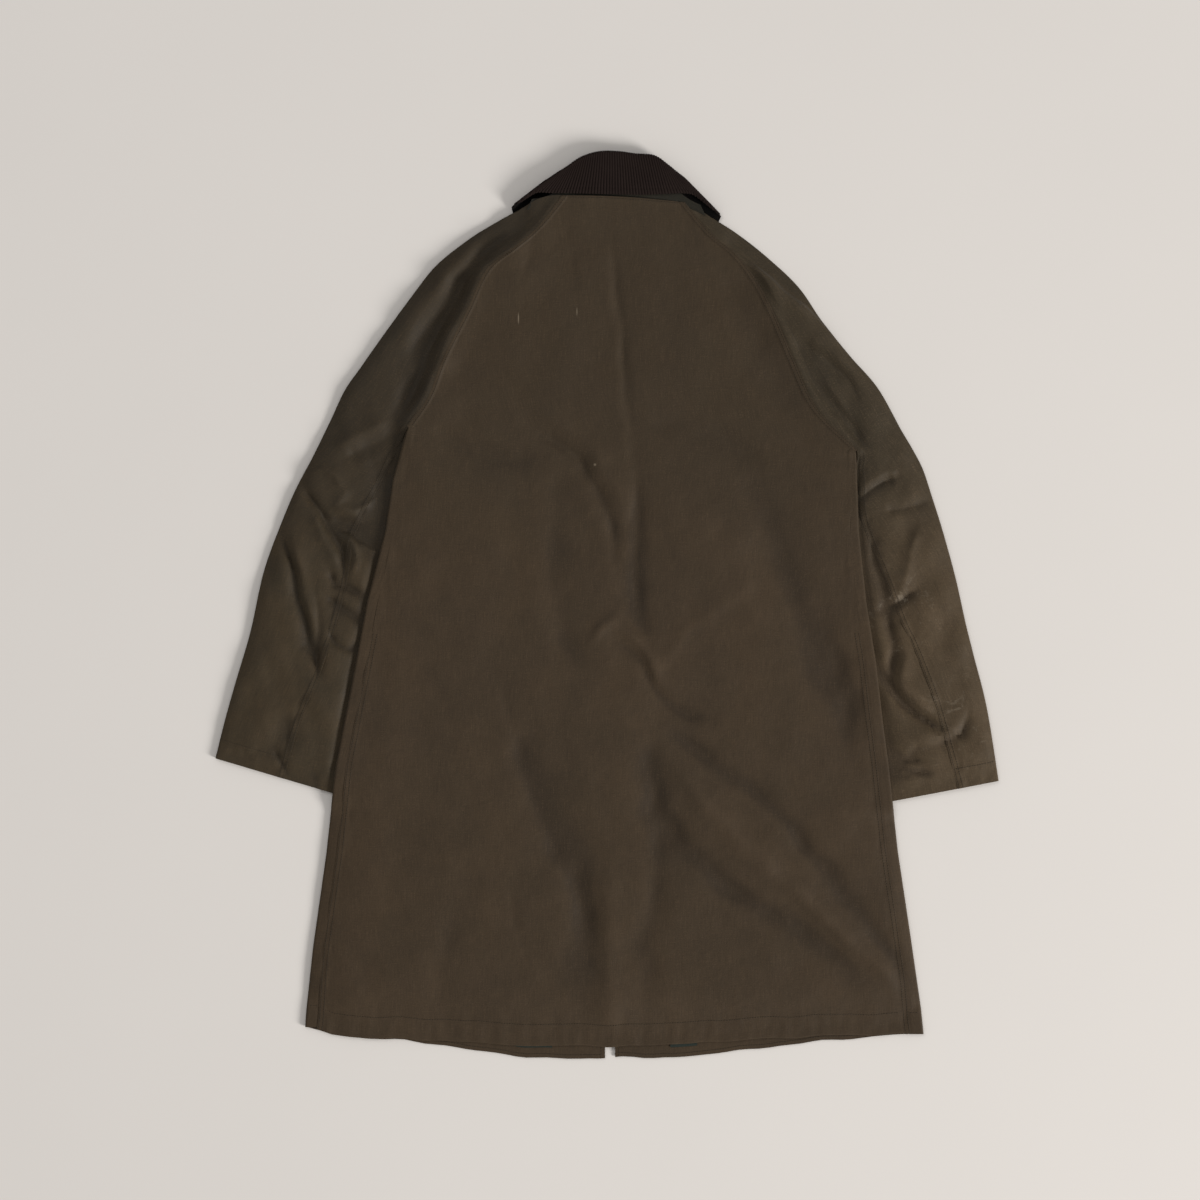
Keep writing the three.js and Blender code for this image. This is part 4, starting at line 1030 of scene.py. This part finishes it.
def rgb(hexa, gain=1.0):
    # a colour as read, as the shader wants it
    parts = [int(hexa[i:i + 2], 16) / 255 for i in (0, 2, 4)]
    return tuple(gain * (p / 12.92 if p < 0.04045 else ((p + 0.055) / 1.055) ** 2.4) for p in parts) + (1.0,)


# colours per piece: base; the pale colour of wear, which also paints highlights on raised folds; deep, which
# paints shade in sunken folds and dark flecks of the weave; upper, laid over the upper part of the layout
waxLook = {
    "body": {"base": "372b1c", "wornAndHighlight": "4a3b2a", "deep": "231a0f", "upper": "362b1c"},
    "left": {"base": "332a1b", "wornAndHighlight": "4a3b28", "deep": "1c150c", "upper": "2c2418"},
    "right": {"base": "3f3322", "wornAndHighlight": "5b4b38", "deep": "281e13", "upper": "312a1d"},
    # a darker copy of the waxed cotton: painted shade for the under collar, which lies under the leaf
    "shaded": {"base": "2a2418", "wornAndHighlight": "3a3222", "deep": "080905", "upper": "1c1a12"},
    "grainSize": 620,
    "blotchSize": 9,
    "roughness": 0.68,
}


# pale marks in metres: centre, how much narrower than long, half length
bodyMarks = [
    ((-0.106, 0.343), 8, 0.009), ((-0.036, 0.351), 9, 0.007), ((-0.0145, 0.168), 1, 0.0022),
    ((0.216, 0.378), 1, 0.0016)]


def waxedCotton(name, look, scuffs=0.0, marks=()):
    made = Finish(name)
    cloth = made.place("UV")
    lay = made.place("Object")
    blotch = made.step(made.noise(lay, waxLook["blotchSize"], 5, 0.62, 0.4), 0.35, 0.68)
    cloud = made.step(made.noise(lay, 34, 4, 0.6), 0.32, 0.7)
    grain = made.noise(cloth, waxLook["grainSize"], 3, 0.7)
    slub = made.noise(made.place("UV", (900, 45, 1)), 1, 2, 0.6)
    weft = made.noise(made.place("UV", (60, 1100, 1)), 1, 2, 0.6)
    relief = made.attribute("relief")
    # painted light: raised folds take the pale colour as a painted highlight, partly wear, and sunken folds
    # take the deep colour as painted shade
    ridge = made.step(relief, 0.6, 3.4)
    trough = made.step(relief, -0.5, -3.2)
    color = made.blend(rgb(look["base"]), rgb(look["wornAndHighlight"]), blotch * 0.24 + cloud * 0.16)
    color = made.blend(color, rgb(look["wornAndHighlight"]), ridge * 0.3)
    color = made.blend(color, rgb(look["deep"]), trough * 0.46)
    height = made.signal(made.node("ShaderNodeSeparateXYZ", None, {0: lay}).outputs[1])
    color = made.blend(color, rgb(look["upper"]), made.step(height, -0.02, 0.24) * 0.75)
    fleck = (grain - 0.5) * 0.9 + (slub - 0.5) * 0.55 + (weft - 0.5) * 0.4
    color = made.blend(color, rgb(look["wornAndHighlight"], 1.35), made.step(fleck, 0.01, 0.24) * 0.34)
    color = made.blend(color, rgb(look["deep"], 0.8), made.step(fleck, -0.01, -0.24) * 0.36)
    if scuffs:
        patch = made.step(made.noise(lay, 34, 8, 0.85, 0.6), 0.56, 0.66)
        elbow = made.near(lay, (0.352, -0.012, 0.01), 0.075)
        rubbed = elbow + made.near(lay, (0.43, -0.15, 0.01), 0.11) * 0.6
        color = made.blend(color, rgb("8f8372"), patch * rubbed.limited() * scuffs)
    for centre, narrow, size in marks:
        spot = made.near(made.place("Object", (narrow, 1, 0)), (centre[0] * narrow, centre[1], 0), size)
        color = made.blend(color, rgb("8a7c69"), spot * 0.5)
    rough = waxLook["roughness"] + (blotch - 0.5) * 0.12 + (grain - 0.5) * 0.12 - ridge * 0.05
    weave = grain * 0.5 + slub * 0.35 + weft * 0.3
    normal = made.bump(weave, 0.35, 0.0005)
    crumpled = made.noise(lay, 55, 5, 0.55, 0.8)
    normal = made.bump(crumpled, 0.22, 0.003, normal)
    return made.use(color=color, roughness=rough, normal=normal, sheen=0.04, sheenRoughness=0.5,
                    specular=0.22)


def corduroyFinish():
    made = Finish("corduroy_finish")
    pile = made.noise(made.place("UV", (1, 0.35, 1)), 1500, 3, 0.7)
    blotch = made.noise(made.place("Object"), 30, 4, 0.6)
    rib = made.attribute("relief")
    # painted shade: the valleys between the wales are near black, the rib tops lighter
    color = made.blend(rgb("020202"), rgb("1e1512"), made.step(rib, 0.15, 0.95))
    color = made.blend(color, rgb("2c231f"), made.step(pile + blotch * 0.6, 0.72, 1.05) * 0.35)
    normal = made.bump(pile, 0.5, 0.0006)
    return made.use(color=color, roughness=0.95, normal=normal, sheen=0.12, sheenRoughness=0.4,
                    sheenTint=rgb("7a6560"), specular=0.15)


def liningFinish():
    made = Finish("lining_finish")
    weave = made.noise(made.place("UV"), 900, 3, 0.7)
    color = made.blend(rgb("161c17"), rgb("27302a"), weave)
    return made.use(color=color, roughness=0.8, normal=made.bump(weave, 0.3, 0.0004), specular=0.3)


def threadFinish():
    made = Finish("thread_finish")
    twist = made.noise(made.place("Object"), 1900, 2, 0.6)
    color = made.blend(rgb("241d14"), rgb("403526"), twist)
    return made.use(color=color, roughness=0.7, normal=made.bump(twist, 0.4, 0.0003), specular=0.3)


print("finishes")
bodyFinish = waxedCotton("waxed_cotton_body", waxLook["body"], marks=bodyMarks)
# the darker copy, painted shade on the under collar
paintedShadeFinish = waxedCotton("waxed_cotton_shaded", waxLook["shaded"])
leftFinish = waxedCotton("waxed_cotton_left", waxLook["left"])
rightFinish = waxedCotton("waxed_cotton_right", waxLook["right"], scuffs=0.36)
finishes = {
    backPanel: bodyFinish, underCollar: paintedShadeFinish, fronts["left"]: bodyFinish, fronts["right"]: bodyFinish,
    sleeves["left"]: leftFinish, sleeves["right"]: rightFinish, topCollar: corduroyFinish(),
}
liningMaterial, threadMaterial = liningFinish(), threadFinish()
finishes.update({sheet: liningMaterial for sheet in linings.values()})
finishes.update({thread: threadMaterial for thread in threads.values()})
for piece, material in finishes.items():
    piece.data.materials.clear()
    piece.data.materials.append(material)


# Every piece hangs from the root body, and the model's parts they stand in for are hidden
for piece in finishes:
    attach(piece, "root")
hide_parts("back_panel")
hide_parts("top_collar")
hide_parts("under_collar")
for side in sign:
    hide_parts(side + "_sleeve")
    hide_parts(side + "_front")
    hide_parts(side + "_lining")


# Studio: a pale floor, soft light from the lower right, and the camera straight above
studio = {
    "pixel": 1.2 * mm,      # size of a photo pixel on the cloth
    "frameWidth": 1200,
    "aim": (-8.4, 6.0),
    "cameraHeight": 4.2,
    "floorSize": 9.0,
    "floorColor": "dfdad5",
}


def areaLight(name, place, size, power, color):
    # a round light that faces the origin
    data = bpy.data.lights.new(name, "AREA")
    data.shape, data.size, data.energy, data.color = "DISK", size, power, color
    lamp = bpy.data.objects.new(name, data)
    bpy.context.collection.objects.link(lamp)
    lamp.location = place
    tilt = math.atan2(math.hypot(place[0], place[1]), place[2])
    lamp.rotation_euler = (tilt, 0, math.atan2(place[0], -place[1]))


print("studio")
clearSelection()
bpy.ops.mesh.primitive_plane_add(size=studio["floorSize"], location=(0, 0, -0.0006))
floor = bpy.context.object
floor.name = "floor"
floorFinish = Finish("floor_paper")
cloudy = floorFinish.noise(floorFinish.place("Object"), 3, 3)
paper = floorFinish.blend(rgb(studio["floorColor"]), rgb(studio["floorColor"], 0.97), cloudy)
floorFinish.use(color=paper, roughness=0.9, specular=0.1)
floor.data.materials.append(floorFinish.material)

areaLight("key", (6.9, -3.9, 3.45), 3.0, 800, (1.0, 0.985, 0.965))
areaLight("fill", (-1.6, 1.8, 4.0), 2.6, 34, (0.97, 0.985, 1.0))
world = bpy.data.worlds.new("studio")
bpy.context.scene.world = world
world.use_nodes = True
world.node_tree.nodes["Background"].inputs[0].default_value = (1.0, 0.99, 0.975, 1)
world.node_tree.nodes["Background"].inputs[1].default_value = 0.42
bpy.context.scene.view_settings.view_transform = "Standard"

cameraData = bpy.data.cameras.new("camera")
camera = bpy.data.objects.new("camera", cameraData)
bpy.context.collection.objects.link(camera)
camera.location = (studio["aim"][0] * mm, studio["aim"][1] * mm, studio["cameraHeight"])
frameSize = studio["frameWidth"] * studio["pixel"]
cameraData.sensor_fit = "HORIZONTAL"
cameraData.lens = cameraData.sensor_width * studio["cameraHeight"] / frameSize
cameraData.clip_end = 30
bpy.context.scene.camera = camera
